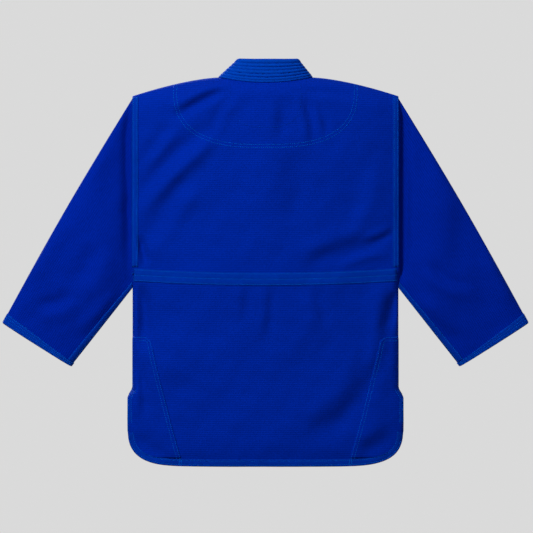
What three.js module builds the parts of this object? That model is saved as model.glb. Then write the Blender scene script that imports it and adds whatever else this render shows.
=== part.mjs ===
// Heavy cotton martial arts jacket, hung upright and closed, left front over right front.
// +X is the wearer's right, +Y the way the wearer faces, +Z up. The origin is the middle of the
// neck opening at the height of the shoulder seam's inner ends. All sizes are in millimetres.
import * as THREE from 'three';
import { mergeVertices } from 'three/addons/utils/BufferGeometryUtils.js';

// ---- Driving sizes -------------------------------------------------------------------------
const HALF_WIDTH = 277;          // centre line to armhole seam and side seam
const NECK_HALF = 98;            // centre line to the inner end of the shoulder
const SHOULDER_DROP = 39;        // fall of the shoulder from neck to armhole
const NECK_DIP = 11;             // fall of the back neckline at the centre
const UNDERARM = -436;           // height of the underarm point
const WAIST = -411;              // middle of the waist seam at the sides
const WAIST_SAG = 9;             // extra fall of the waist seam at the centre back
const VENT_TOP = -647;           // top of the side vents
const HEM = -807;                // lowest point of the jacket
const HEM_FLARE = 10;            // how much wider each side is at the hem
const HEM_CORNER_ACROSS = 138;   // length of the rounded hem corner along the hem
const HEM_CORNER_UP = 87;        // height of the rounded hem corner
const MID_DEPTH = 40;            // centre of the hollow body to its front or back
const EDGE_DEPTH = 14;           // half depth of the armhole
const SHOULDER_ROUND = 50;       // height over which the shoulder fold opens out
const SIDE_ROUND = 16;           // width over which the side fold closes
const VENT_EDGE_DEPTH = 8;       // half opening between front and back at the vents
const VENT_TURN = 45;            // height over which the side flares below the top of the vent
const UNDERARM_TURN = 45;        // height over which the side fold closes below the underarm
const CLOTH = 1.5;               // jacket cloth
const TAPE = 1.2;                // sewn-on tapes, bands and patches
const GAP = 0.3;                 // clearance between separate pieces
const TAPE_LIFT = 0.7;           // how far a sewn-on band stands off the cloth
const BAND_GAP = 1;              // clearance where one band ends at another
const EDGE_INSET = 0.5;          // edge of the cloth to the edge of a band
const SLEEVE_GAP = 0.5;          // clearance between body and sleeve at the armhole

const SLEEVE_TOP = [269, -472];  // shoulder tip to outer cuff corner, across and up
const SLEEVE_UNDER = [127, -165]; // underarm to inner cuff corner, across and up
const SLEEVE_MID_DEPTH = 26;     // half depth of the sleeve halfway down
const CUFF_DEPTH = 20;           // half depth of the cuff
const CUFF_BAND = 21;            // width of the cuff band
const CUFF_SLANT = 1.45;         // length of sleeve that a cuff band takes up, over its width
const SEAM_TAPE = 12;            // width of the underarm seam tape
const ARMHOLE_TAPE = 13;         // width of the armhole tape
const ARMHOLE_TAPE_TOP = 6;      // shoulder to the top of the armhole tape

const WAIST_BAND = 28;           // width of the waist band
const HEM_BAND = 15;             // width of the hem band
const HEM_BAND_STOP = 12;        // side edge to the end of the hem band
const VENT_BAND = 10;            // side edge to the inner edge of the vent edge bands
const VENT_BAND_INSET = 2;       // side edge to the outer edge of the vent edge bands
const PATCH_TOP = -538;          // top of the side patches at the side seam
const PATCH_TOP_WIDTH = 40;      // width of a side patch at its top
const PATCH_HEM_HALF = 172;      // centre line to the side patch at the hem
const PATCH_HEM_GAP = 4;         // hem band to the foot of a side patch
const BARTACK_WIDTH = 9;
const BARTACK_HEIGHT = 14;       // hem edge to the top of a bartack
const BARTACK_THICK = 1;

const YOKE_HALF = 190;           // centre line to the side of the yoke lining
const YOKE_SIDE = -40;           // height where the yoke's side turns into its corner
const YOKE_DEPTH = -149;         // bottom of the yoke lining
const NECK_PATCH_HALF = 73;      // centre line to the side of the neck patch
const NECK_PATCH_SIDE = -45;     // height where the neck patch's side turns into its corner
const NECK_PATCH_DEPTH = -107;   // bottom of the neck patch

const COLLAR_WIDTH = 50;         // width of collar and lapels
const COLLAR_CORE = 3.4;         // thickness of the core strip
const COLLAR_TOP_HALF = 60;      // centre line to the collar's top corner
const COLLAR_TOP = 40.6;         // height of the collar's top edge
const COLLAR_TOP_BACK = -22;     // how far back the collar's top edge lies at the centre
const COLLAR_TOP_FALL = 2;       // fall of the collar's top edge at its corners
const COLLAR_FOOT = 1;           // neckline to the line the collar rises from
const COLLAR_START = 0.06;       // share of the collar's height left free above that line
const COLLAR_BEVEL = 1.5;        // how much the free edge of the cover is rounded off
const CORE_BEVEL = 0.6;          // how much the free edge of the core is rounded off
const COLLAR_END = 0.03;         // share of the neckline left free at each end of the collar
const LAPEL_CROSS_HALF = 88;     // where a lapel seam ends at the hem, past the centre line
const LAPEL_SPREAD = 0.98;       // width of a lapel seen from the front, over its own width
const LAPEL_SLANT = 0.22;        // rise across a lapel's width, which squares it to its seam
const LAPEL_SETTLE = 0.12;       // share of a lapel over which it leaves the collar for the front
const LAPEL_LEVEL = 0.2;         // share of a lapel over which it levels out at the hem
const FRONT_LAYER = 10;          // how far the outer front stands off over the inner front
const LAYER_SIDE = 40;           // side seam to where the outer front starts to stand off
const LAYER_ACROSS = 110;        // width over which it comes to stand off fully
const LAYER_TOP = 60;            // shoulder to where the outer front starts to stand off
const LAYER_DOWN = 200;          // height over which it comes to stand off fully
const LINING_SLACK = 2.5;        // how loosely a lining hangs behind the cloth
const LINING_TOP = 8;            // how far below the shoulder the yoke lining starts
const NECK_PATCH_TOP = 24;       // how far below the neckline the neck patch starts

const HINGE_TOP = 112;           // centre line to the top of a front's fold line
const HINGE_VENT_INSET = 4;      // side seam to the fold line at the top of the vent
const HINGE_GAP = 1.2;           // clearance along the fold line
const SIDE_FOOT = 12;            // top of the vent to the foot of the side piece of a front
const FACET = 40;                // longest facet down a long panel

// ---- Derived sizes -------------------------------------------------------------------------
const COLLAR_THICK = COLLAR_CORE + 2 * (CLOTH + GAP);
const HEM_HALF = HALF_WIDTH + HEM_FLARE;
const SLEEVE_ROOT = HALF_WIDTH + SLEEVE_GAP + CLOTH / 2;
const CUFF_OUTER = [SLEEVE_ROOT + SLEEVE_TOP[0], SLEEVE_TOP[1] - SHOULDER_DROP];
const CUFF_INNER = [SLEEVE_ROOT + SLEEVE_UNDER[0], SLEEVE_UNDER[1] + UNDERARM];

// Powers that set how sharply a curve turns.
const SHOULDER_CURVE = 1.5;
const HEM_CURVE = 3.2;
const U_CURVE = 2.7;
const DEPTH_CURVE = 2.5;
const PATCH_CURVE = 1.12;
const SLEEVE_CURVE = 0.7;

const SIDES = [{ name: 'left', sign: -1, layer: 1 }, { name: 'right', sign: 1, layer: 0 }];

const stepsOver = (length) => Math.ceil(Math.abs(length) / FACET);
const clamp = (t) => Math.min(1, Math.max(0, t));
const smooth = (t) => clamp(t) ** 2 * (3 - 2 * clamp(t));
const lerp = THREE.MathUtils.lerp;
const nearTop = (v) => 1 - (1 - v) ** 2;     // closer steps where the shoulder fold turns
const nearEdge = (u) => Math.sin(u * Math.PI / 2);   // closer steps where the side fold turns

// ---- Outlines: heights and widths over the front and back ------------------------------------
function shoulderHeight(x) {
  const out = clamp((Math.abs(x) - NECK_HALF) / (HALF_WIDTH - NECK_HALF));
  return -SHOULDER_DROP * out ** SHOULDER_CURVE;
}

function necklineHeight(x) {
  const inside = clamp(1 - (x / NECK_HALF) ** 2);
  return shoulderHeight(x) - NECK_DIP * inside;
}

function waistHeight(x) {
  return WAIST - WAIST_SAG * (1 - clamp(Math.abs(x) / HALF_WIDTH) ** 2);
}

function hemHeight(x) {
  const along = clamp((Math.abs(x) - (HEM_HALF - HEM_CORNER_ACROSS)) / HEM_CORNER_ACROSS);
  return HEM + HEM_CORNER_UP * (1 - (1 - along ** HEM_CURVE) ** (1 / HEM_CURVE));
}

function halfWidth(z) {
  return HALF_WIDTH + (HEM_HALF - HALF_WIDTH) * smooth((VENT_TOP - z) / VENT_TURN);
}

function hingeHalf(z) {
  const atVent = HALF_WIDTH - HINGE_VENT_INSET;
  return lerp(HINGE_TOP, atVent, z / VENT_TOP);
}

function uHeight(x, half, side, depth) {
  const across = clamp(Math.abs(x) / half);
  return side + (depth - side) * (1 - across ** U_CURVE) ** (1 / U_CURVE);
}

function patchInner(z) {
  const down = clamp((PATCH_TOP - z) / (PATCH_TOP - HEM));
  return lerp(HALF_WIDTH - PATCH_TOP_WIDTH, PATCH_HEM_HALF, down ** PATCH_CURVE);
}

// Signed place of a lapel's seam edge: it starts at the neck and crosses the centre line.
function lapelSeam(z) {
  return lerp(-NECK_HALF, LAPEL_CROSS_HALF, z / HEM);
}

// ---- Body surface: half depth of the hollow jacket --------------------------------------------
function bodyDepth(x, z) {
  const across = clamp(Math.abs(x) / HALF_WIDTH);
  const full = lerp(MID_DEPTH, EDGE_DEPTH, across ** DEPTH_CURVE);
  const rise = NECK_DIP / 2 * clamp(1 - (x / NECK_HALF) ** 2);
  const below = clamp((shoulderHeight(x) + rise - z) / SHOULDER_ROUND);
  const open = Math.sqrt(1 - (1 - below) ** 2);
  const half = halfWidth(z);
  const edge = clamp((Math.abs(x) - (half - SIDE_ROUND)) / SIDE_ROUND);
  const vent = 1 - VENT_EDGE_DEPTH / EDGE_DEPTH * smooth((VENT_TOP - z) / VENT_TURN);
  const closing = smooth((UNDERARM + UNDERARM_TURN - z) / UNDERARM_TURN) * vent;
  const fold = 1 - closing * (1 - Math.sqrt(Math.max(0, 1 - edge ** 2)));
  return GAP / 2 + full * open * fold;
}

function backPoint(x, z) {
  return new THREE.Vector3(x, -bodyDepth(x, z), z);
}

// The outer front rises clear of the inner front toward the centre and below the neck.
function frontPoint(x, z, side) {
  const past = (HALF_WIDTH - LAYER_SIDE - x * side.sign) / LAYER_ACROSS;
  const below = (-z - LAYER_TOP) / LAYER_DOWN;
  const rise = side.layer * FRONT_LAYER * smooth(past) * smooth(below);
  return new THREE.Vector3(x, bodyDepth(x, z) + rise, z);
}

// ---- Solids from surfaces ----------------------------------------------------------------------
// surface(u, v) gives a point, and facing(point) a rough outward direction there. Every solid takes
// its numbers of facets across and up, then the depths of its two faces outward from the surface.
const facingBack = (p) => new THREE.Vector3(p.x / HALF_WIDTH, -1, 0.4);
const facingFront = (p) => new THREE.Vector3(p.x / HALF_WIDTH, 1, 0.4);

function offsetPoint(surface, facing, u, v, depth) {
  const step = 1e-3;
  const u0 = Math.max(0, u - step);
  const u1 = Math.min(1, u + step);
  const v0 = Math.max(0, v - step);
  const v1 = Math.min(1, v + step);
  const along = surface(u1, v).sub(surface(u0, v));
  const up = surface(u, v1).sub(surface(u, v0));
  const normal = along.cross(up).normalize();
  const point = surface(u, v);
  return point.addScaledVector(normal, depth * Math.sign(normal.dot(facing(point))));
}

function closedSolid(geometry, place) {
  geometry.deleteAttribute('normal');
  geometry.deleteAttribute('uv');
  const position = geometry.attributes.position;
  const point = new THREE.Vector3();
  for (let i = 0; i < position.count; i += 1) {
    point.fromBufferAttribute(position, i);
    const moved = place(point);
    position.setXYZ(i, moved.x, moved.y, moved.z);
  }
  const solid = mergeVertices(geometry, 1e-3);
  const index = solid.index.array;
  const corners = [new THREE.Vector3(), new THREE.Vector3(), new THREE.Vector3()];
  let volume = 0;
  for (let i = 0; i < index.length; i += 3) {
    corners.forEach((corner, k) => corner.fromBufferAttribute(solid.attributes.position, index[i + k]));
    volume += corners[0].dot(corners[1].clone().cross(corners[2]));
  }
  if (volume < 0) {
    for (let i = 0; i < index.length; i += 3) {
      [index[i], index[i + 1]] = [index[i + 1], index[i]];
    }
  }
  solid.computeVertexNormals();
  return solid;
}

function sheet(surface, facing, across, up, inner, outer) {
  const box = new THREE.BoxGeometry(1, 1, 1, across, up, 1);
  const depthAt = (w) => lerp(inner, outer, w);
  return closedSolid(box, (p) => offsetPoint(surface, facing, p.x + 0.5, p.y + 0.5, depthAt(p.z + 0.5)));
}

// A strip whose section is a flat outline of widths (x) and depths (y), swept along u.
function sweep(outline, steps, surface, facing, width) {
  const shape = new THREE.Shape(outline.map(([s, n]) => new THREE.Vector2(s, n)));
  const bar = new THREE.ExtrudeGeometry(shape, { depth: 1, steps, bevelEnabled: false });
  return closedSolid(bar, (p) => offsetPoint(surface, facing, p.z, p.x / width, p.y));
}

// A tube wall: surface(turn, along) with turn from 0 to 1 all the way round.
function tube(surface, around, along, from, to, inner, outer) {
  const outline = [];
  for (let i = 0; i <= along; i += 1) {
    outline.push(new THREE.Vector2(2, lerp(from, to, i / along)));
  }
  for (let i = along; i >= 0; i -= 1) {
    outline.push(new THREE.Vector2(1, lerp(from, to, i / along)));
  }
  outline.push(outline[0].clone());
  const ring = new THREE.LatheGeometry(outline, around);
  return closedSolid(ring, (p) => {
    const turn = Math.atan2(p.x, p.z) / (2 * Math.PI);
    const depth = lerp(inner, outer, Math.hypot(p.x, p.z) - 1);
    return offsetTube(surface, turn, p.y, depth);
  });
}

function offsetTube(surface, turn, along, depth) {
  const step = 1e-3;
  const around = surface(turn + step, along).sub(surface(turn - step, along));
  const down = surface(turn, Math.min(1, along + step)).sub(surface(turn, Math.max(0, along - step)));
  const normal = around.cross(down).normalize();
  return surface(turn, along).addScaledVector(normal, depth);
}

// ---- Materials -----------------------------------------------------------------------------------
const COLOURS = { cloth: 0x06299a, collar: 0x0a3cac, tape: 0x0c36a6, lining: 0x082c8c, core: 0xc9c9c2 };

function piece(name, geometry, finish) {
  const material = new THREE.MeshStandardMaterial({ color: COLOURS[finish], roughness: 0.9, metalness: 0 });
  const mesh = new THREE.Mesh(geometry, material);
  mesh.name = name;
  return mesh;
}

const jacket = new THREE.Group();
const add = (name, geometry, finish) => jacket.add(piece(name, geometry, finish));

// ---- Back: across u from the left side to the right side, v up -----------------------------------
const across = (u, z) => halfWidth(z) * Math.sin((2 * u - 1) * Math.PI / 2);
const backSurface = (bottom, top, steps) => (u, v) => {
  const x = across(u, VENT_TOP);
  return backPoint(x, lerp(bottom(x), top(x), steps(v)));
};
const even = (v) => v;
const seam = GAP / 2;
const upper = backSurface((x) => waistHeight(x) + seam, necklineHeight, nearTop);
const skirt = backSurface(() => VENT_TOP + seam, (x) => waistHeight(x) - seam, even);
const tail = (u, v) => {
  const x = across(u, lerp(HEM, VENT_TOP, v));
  return backPoint(x, lerp(hemHeight(x), VENT_TOP - seam, v));
};
add('back_upper', sheet(upper, facingBack, 18, 11, -CLOTH, 0), 'cloth');
add('back_skirt', sheet(skirt, facingBack, 18, stepsOver(WAIST - VENT_TOP), -CLOTH, 0), 'cloth');
add('back_tail', sheet(tail, facingBack, 20, stepsOver(VENT_TOP - HEM), -CLOTH, 0), 'cloth');

const TAPE_IN = TAPE_LIFT;
const TAPE_OUT = TAPE_LIFT + TAPE;
const waistAcross = (u) => lerp(-1, 1, u) * (HALF_WIDTH - SIDE_ROUND);
const backWaist = (u, v) => {
  const x = waistAcross(u);
  return backPoint(x, waistHeight(x) + lerp(-WAIST_BAND, WAIST_BAND, v) / 2);
};
add('back_waist_band', sheet(backWaist, facingBack, 14, 1, TAPE_IN, TAPE_OUT), 'tape');

// Linings lie under the back panel, the neck patch under the yoke. Each is shifted inwards from the
// back itself, which keeps its corners square to the back.
const backPlane = (u, v) => backPoint(lerp(-HALF_WIDTH, HALF_WIDTH, u), lerp(0, HEM, v));
function lining(surface, wide, high, inner, outer) {
  const box = new THREE.BoxGeometry(1, 1, 1, wide, high, 1);
  return closedSolid(box, (p) => {
    const at = surface(p.x + 0.5, p.y + 0.5);
    const u = (at.x / HALF_WIDTH + 1) / 2;
    return offsetPoint(backPlane, facingBack, u, at.z / HEM, lerp(inner, outer, p.z + 0.5));
  });
}
const liningSurface = (half, side, depth, start) => (u, v) => {
  const x = half * Math.sin((2 * u - 1) * Math.PI / 2);
  const top = necklineHeight(x) - start;
  return backPoint(x, lerp(uHeight(x, half, side, depth), top, nearTop(v)));
};
const yoke = liningSurface(YOKE_HALF, YOKE_SIDE, YOKE_DEPTH, LINING_TOP);
const patchSize = [NECK_PATCH_HALF, NECK_PATCH_SIDE, NECK_PATCH_DEPTH];
const neckPatch = liningSurface(...patchSize, NECK_PATCH_TOP);
const liningStart = -(CLOTH + LINING_SLACK);
add('yoke_lining', lining(yoke, 14, 12, liningStart - TAPE, liningStart), 'lining');
const patchStart = liningStart - TAPE - 2 * LINING_SLACK;
add('neck_patch', lining(neckPatch, 8, 7, patchStart - TAPE, patchStart), 'lining');

// Hem band along the tail, stopping where the corner turns up into the vent bands.
const hemSpan = HEM_HALF - HEM_BAND_STOP;
const hemBand = (point, from, to) => (u, v) => {
  const x = lerp(from, to, u);
  return point(x, hemHeight(x) + lerp(EDGE_INSET, HEM_BAND, v));
};
const backHem = hemBand(backPoint, -hemSpan, hemSpan);
add('back_hem_band', sheet(backHem, facingBack, 20, 1, TAPE_IN, TAPE_OUT), 'tape');

// A vent band follows the side edge from the hem band's end up to the top of the vent.
const ventBand = (point, sign) => (u, v) => {
  const top = VENT_TOP - 2 * BAND_GAP;
  const low = hemHeight(hemSpan) + HEM_BAND + BAND_GAP;
  const z = lerp(low, top, v);
  return point(sign * (halfWidth(z) - lerp(VENT_BAND_INSET, VENT_BAND, u)), z);
};
const ventIn = 3 * TAPE_LIFT;
const ventOut = ventIn + TAPE;
const ventSteps = 2 * stepsOver(VENT_TOP - HEM);

// ---- Collar behind the neck: u from left to right, v from seam edge to free edge -------------------
const neckBand = (u, v) => {
  const turn = 2 * u - 1;
  const x = NECK_HALF * Math.sin(turn * Math.PI / 2);
  const foot = backPoint(x, necklineHeight(x) + COLLAR_FOOT);
  const topX = COLLAR_TOP_HALF * Math.sin(turn * Math.PI / 2);
  const topY = COLLAR_TOP_BACK * (1 - turn ** 2);
  const top = new THREE.Vector3(topX, topY, COLLAR_TOP - COLLAR_TOP_FALL * turn ** 2);
  return foot.lerp(top, lerp(COLLAR_START, 1, v));
};
const half = COLLAR_THICK / 2;
const fold = COLLAR_WIDTH - CLOTH;
const third = COLLAR_WIDTH / 3;
const lined = half - CLOTH;
const coverOutline = [
  [0, -half], [third, -half], [2 * third, -half], [COLLAR_WIDTH, -half + COLLAR_BEVEL],
  [COLLAR_WIDTH, half - COLLAR_BEVEL], [2 * third, half], [third, half], [0, half],
  [0, lined], [third, lined], [2 * third, lined], [fold, lined - CORE_BEVEL],
  [fold, -lined + CORE_BEVEL], [2 * third, -lined], [third, -lined], [0, -lined],
];
const coreHalf = COLLAR_CORE / 2;
const coreStart = 1;
const coreEnd = fold - 2 * GAP;
const coreOutline = [
  [coreStart, -coreHalf], [third, -coreHalf], [2 * third, -coreHalf], [coreEnd, -coreHalf + CORE_BEVEL],
  [coreEnd, coreHalf - CORE_BEVEL], [2 * third, coreHalf], [third, coreHalf], [coreStart, coreHalf],
];
const neckSteps = 14;
const coreGap = COLLAR_END + (1 - 2 * COLLAR_END) / neckSteps;
const neckInset = (u, v) => neckBand(lerp(COLLAR_END, 1 - COLLAR_END, u), v);
const coreInset = (u, v) => neckBand(lerp(coreGap, 1 - coreGap, u), v);
add('collar_neck_cover', sweep(coverOutline, neckSteps, neckInset, facingBack, COLLAR_WIDTH), 'collar');
add('collar_neck_core', sweep(coreOutline, neckSteps - 2, coreInset, facingBack, COLLAR_WIDTH), 'core');

// ---- Sleeve: turn 0 on the shoulder fold, a half turn on the underarm fold -------------------------
function sleeveSurface(sign) {
  return (turn, along) => {
    const angle = turn * 2 * Math.PI;
    const top = [lerp(SLEEVE_ROOT, CUFF_OUTER[0], along), lerp(-SHOULDER_DROP, CUFF_OUTER[1], along)];
    const low = [lerp(SLEEVE_ROOT, CUFF_INNER[0], along), lerp(UNDERARM, CUFF_INNER[1], along)];
    const mid = (1 + Math.cos(angle)) / 2;
    const root = lerp(EDGE_DEPTH, SLEEVE_MID_DEPTH, smooth(along * 2));
    const depth = lerp(root, CUFF_DEPTH, smooth(along * 2 - 1));
    const round = Math.sin(angle);
    const y = -depth * Math.sign(round) * Math.abs(round) ** SLEEVE_CURVE;
    return new THREE.Vector3(sign * lerp(low[0], top[0], mid), y * sign, lerp(low[1], top[1], mid));
  };
}
const sleeveLength = Math.hypot(...SLEEVE_TOP);
const cuffStart = 1 - CUFF_BAND / sleeveLength * CUFF_SLANT;

for (const side of SIDES) {
  const { name, sign } = side;
  const wall = sleeveSurface(sign);
  const front = (x, z) => frontPoint(x, z, side);

  add(`${name}_sleeve`, tube(wall, 28, 7, 0, 1, -CLOTH, 0), 'cloth');
  add(`${name}_cuff_band`, tube(wall, 28, 1, cuffStart, 1, TAPE_IN, TAPE_OUT), 'tape');
  // The underarm tape runs beside the underarm fold, clear of the armhole and of the cuff band.
  const tapeRun = [0.04, cuffStart - 0.01];
  const besideFold = 0.012;
  const underarm = (u, v) => {
    const along = lerp(...tapeRun, v);
    const width = Math.abs(lerp(UNDERARM + SHOULDER_DROP, CUFF_INNER[1] - CUFF_OUTER[1], along));
    const reach = Math.acos(1 - 2 * SEAM_TAPE / width) / (2 * Math.PI);
    return wall(0.5 - sign * (besideFold + reach * u), along);
  };
  const facingUnder = () => new THREE.Vector3(-0.8 * sign, -1, -0.6);
  add(`${name}_underarm_tape`, sheet(underarm, facingUnder, 3, 8, TAPE_IN, TAPE_OUT), 'tape');

  // Armhole tapes run down the body side of the armhole seam, one on the back, one on the front.
  const armhole = (point) => (u, v) => {
    const x = sign * (HALF_WIDTH - lerp(EDGE_INSET, ARMHOLE_TAPE, u));
    const low = waistHeight(x) + WAIST_BAND / 2 + BAND_GAP;
    return point(x, lerp(low, shoulderHeight(x) - ARMHOLE_TAPE_TOP, nearTop(v)));
  };
  add(`${name}_armhole_tape_back`, sheet(armhole(backPoint), facingBack, 1, 14, TAPE_IN, TAPE_OUT), 'tape');
  add(`${name}_armhole_tape_front`, sheet(armhole(front), facingFront, 1, 14, TAPE_IN, TAPE_OUT), 'tape');

  // Side patch on the back, in two pieces that meet at the top of the vent.
  const patch = (point, bottom, top) => (u, v) => {
    const z = lerp(bottom, top, v);
    const outer = halfWidth(z) - SIDE_ROUND;
    const x = sign * lerp(patchInner(z), outer, u);
    return point(x, Math.max(z, hemHeight(x) + HEM_BAND + PATCH_HEM_GAP));
  };
  const low = HEM + HEM_BAND + BAND_GAP;
  const upperPatch = patch(backPoint, VENT_TOP + seam, PATCH_TOP);
  const lowerPatch = patch(backPoint, low, VENT_TOP - BAND_GAP);
  add(`${name}_patch_upper`, sheet(upperPatch, facingBack, 4, 3, TAPE_IN, TAPE_OUT), 'cloth');
  add(`${name}_patch_tail`, sheet(lowerPatch, facingBack, 6, 6, TAPE_IN, TAPE_OUT), 'cloth');
  const backVent = ventBand(backPoint, sign);
  add(`${name}_vent_band_back`, sheet(backVent, facingBack, 3, ventSteps, ventIn, ventOut), 'tape');

  // Bartacks over the hem bands at the foot of the patch seams.
  const tack = (point) => (u, v) => {
    const x = sign * (PATCH_HEM_HALF + (u - 0.5) * BARTACK_WIDTH);
    return point(x, hemHeight(x) + lerp(BAND_GAP, BARTACK_HEIGHT, v));
  };
  const tackIn = TAPE_OUT + GAP;
  const tackOut = tackIn + BARTACK_THICK;
  add(`${name}_bartack`, sheet(tack(backPoint), facingBack, 1, 1, tackIn, tackOut), 'tape');

  // The front is one cloth, parted along the fold line about which it opens. Width and height
  // depend on each other, so each point is placed twice.
  const seamHalf = (z) => -lapelSeam(z) + GAP;
  const frontPart = (inner, outer, height) => (u, v) => {
    let x = lerp(inner(height(HALF_WIDTH, v)), outer(height(HALF_WIDTH, v)), u);
    for (let pass = 0; pass < 2; pass += 1) {
      const z = height(x, v);
      x = lerp(inner(z), outer(z), u);
    }
    return front(sign * x, height(x, v));
  };
  const fromWaist = (x, v) => lerp(waistHeight(x) + seam, shoulderHeight(x), nearTop(v));
  const fromSideFoot = (x, v) => lerp(VENT_TOP + SIDE_FOOT, waistHeight(x) - seam, v);
  const fromHem = (x, v) => lerp(hemHeight(x), waistHeight(x) - seam, v);
  const inHinge = (z) => Math.min(hingeHalf(z) - HINGE_GAP / 2, halfWidth(z));
  const outHinge = (z) => hingeHalf(z) + HINGE_GAP / 2;
  const closerAtSide = (part) => (u, v) => part(nearEdge(u), v);
  const shoulderPart = closerAtSide(frontPart(outHinge, () => HALF_WIDTH, fromWaist));
  const chestPart = frontPart(seamHalf, inHinge, fromWaist);
  const sidePart = closerAtSide(frontPart(outHinge, () => HALF_WIDTH, fromSideFoot));
  const skirtPart = closerAtSide(frontPart(seamHalf, inHinge, fromHem));
  add(`${name}_front_shoulder`, sheet(shoulderPart, facingFront, 7, 11, -CLOTH, 0), 'cloth');
  add(`${name}_front_chest`, sheet(chestPart, facingFront, 8, 11, -CLOTH, 0), 'cloth');
  add(`${name}_front_side`, sheet(sidePart, facingFront, 4, 6, -CLOTH, 0), 'cloth');
  add(`${name}_front_skirt`, sheet(skirtPart, facingFront, 16, stepsOver(WAIST - HEM), -CLOTH, 0), 'cloth');

  // Bands and patch on the front. Each runs from inner to outer, both measured from the centre.
  const frontBand = (inner, outer, low, high) => (u, v) => {
    const z = lerp(low, high, v);
    const x = lerp(inner(z), outer(z), u);
    return front(sign * x, z + waistHeight(x) - WAIST);
  };
  const bandLow = WAIST - WAIST_BAND / 2;
  const bandHigh = WAIST + WAIST_BAND / 2;
  const sideEdge = () => HALF_WIDTH - SIDE_ROUND;
  const besideLapel = (z) => seamHalf(z) + 3 * BAND_GAP;
  const besideFoldIn = (z) => hingeHalf(z) - BAND_GAP;
  const besideFoldOut = (z) => hingeHalf(z) + BAND_GAP;
  const openingBand = frontBand(besideLapel, besideFoldIn, bandLow, bandHigh);
  const sideBand = frontBand(besideFoldOut, sideEdge, bandLow, bandHigh);
  add(`${name}_waist_band_front`, sheet(openingBand, facingFront, 12, 1, TAPE_IN, TAPE_OUT), 'tape');
  add(`${name}_waist_band_side`, sheet(sideBand, facingFront, 3, 1, TAPE_IN, TAPE_OUT), 'tape');

  const seamAtHem = seamHalf(HEM + HEM_BAND) + BAND_GAP;
  const frontHem = hemBand(front, sign * seamAtHem, sign * hemSpan);
  add(`${name}_hem_band_front`, sheet(frontHem, facingFront, 22, 1, TAPE_IN, TAPE_OUT), 'tape');
  const frontVent = ventBand(front, sign);
  add(`${name}_vent_band_front`, sheet(frontVent, facingFront, 3, ventSteps, ventIn, ventOut), 'tape');
  const frontPatch = (u, v) => {
    const z = lerp(low, PATCH_TOP, v);
    const outer = Math.min(besideFoldIn(z), halfWidth(z) - SIDE_ROUND);
    const x = sign * lerp(patchInner(z), outer, u);
    return front(x, Math.max(z, hemHeight(x) + HEM_BAND + PATCH_HEM_GAP));
  };
  add(`${name}_patch_front`, sheet(frontPatch, facingFront, 6, 8, TAPE_IN, TAPE_OUT), 'cloth');
  add(`${name}_bartack_front`, sheet(tack(front), facingFront, 1, 1, tackIn, tackOut), 'tape');

  // Lapel: u from the shoulder to the hem, v from seam edge to free edge. It leaves the neck in
  // line with the collar and then lies down onto the front.
  const lapel = (u, v) => {
    const z = lerp(0, HEM, u);
    const rise = LAPEL_SLANT * (1 - smooth((u - 1 + LAPEL_LEVEL) / LAPEL_LEVEL));
    const x = -lapelSeam(z) - v * COLLAR_WIDTH * LAPEL_SPREAD;
    const y = front(sign * x, Math.min(z, -1)).y + half - CLOTH;
    const lying = new THREE.Vector3(sign * x, y, z + v * COLLAR_WIDTH * rise);
    const neck = neckBand(sign < 0 ? 0 : 1, v);
    neck.y += COLLAR_THICK + GAP - (1 - v) * half;
    return neck.lerp(lying, smooth(u / LAPEL_SETTLE));
  };
  const steps = stepsOver(HEM);
  add(`${name}_lapel_cover`, sweep(coverOutline, steps, lapel, facingFront, COLLAR_WIDTH), 'collar');
  add(`${name}_lapel_core`, sweep(coreOutline, steps, lapel, facingFront, COLLAR_WIDTH), 'core');
}

export default jacket;
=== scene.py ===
"""Heavy cotton martial arts jacket, hung closed: cloth panels, bands, quilted collar and stitching."""

import math

import bpy
import numpy as np
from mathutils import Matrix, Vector


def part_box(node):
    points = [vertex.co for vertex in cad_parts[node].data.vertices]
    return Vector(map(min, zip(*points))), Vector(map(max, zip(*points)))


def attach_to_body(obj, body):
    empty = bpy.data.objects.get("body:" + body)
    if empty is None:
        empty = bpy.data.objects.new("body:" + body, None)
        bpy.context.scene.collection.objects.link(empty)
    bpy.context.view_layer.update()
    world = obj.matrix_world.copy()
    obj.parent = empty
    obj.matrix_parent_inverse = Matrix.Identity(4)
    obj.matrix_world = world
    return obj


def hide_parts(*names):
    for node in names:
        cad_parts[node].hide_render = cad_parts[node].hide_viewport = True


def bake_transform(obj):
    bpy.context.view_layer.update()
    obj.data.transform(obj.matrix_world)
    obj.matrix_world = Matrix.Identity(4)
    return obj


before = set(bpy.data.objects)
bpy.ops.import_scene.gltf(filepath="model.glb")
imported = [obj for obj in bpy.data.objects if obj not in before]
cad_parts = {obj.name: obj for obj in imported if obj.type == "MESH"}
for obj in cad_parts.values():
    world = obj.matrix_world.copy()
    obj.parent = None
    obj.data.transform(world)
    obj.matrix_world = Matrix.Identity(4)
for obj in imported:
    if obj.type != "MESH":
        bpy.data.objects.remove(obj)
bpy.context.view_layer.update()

bl_info = {
    "name": "Martial Arts Jacket",
    "version": (1, 0, 0),
    "blender": (4, 5, 0),
    "location": "3D View > Sidebar > Jacket",
    "description": "Makes a heavy woven jacket with quilted collar, bands and stitching",
    "category": "Object",
}

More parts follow.
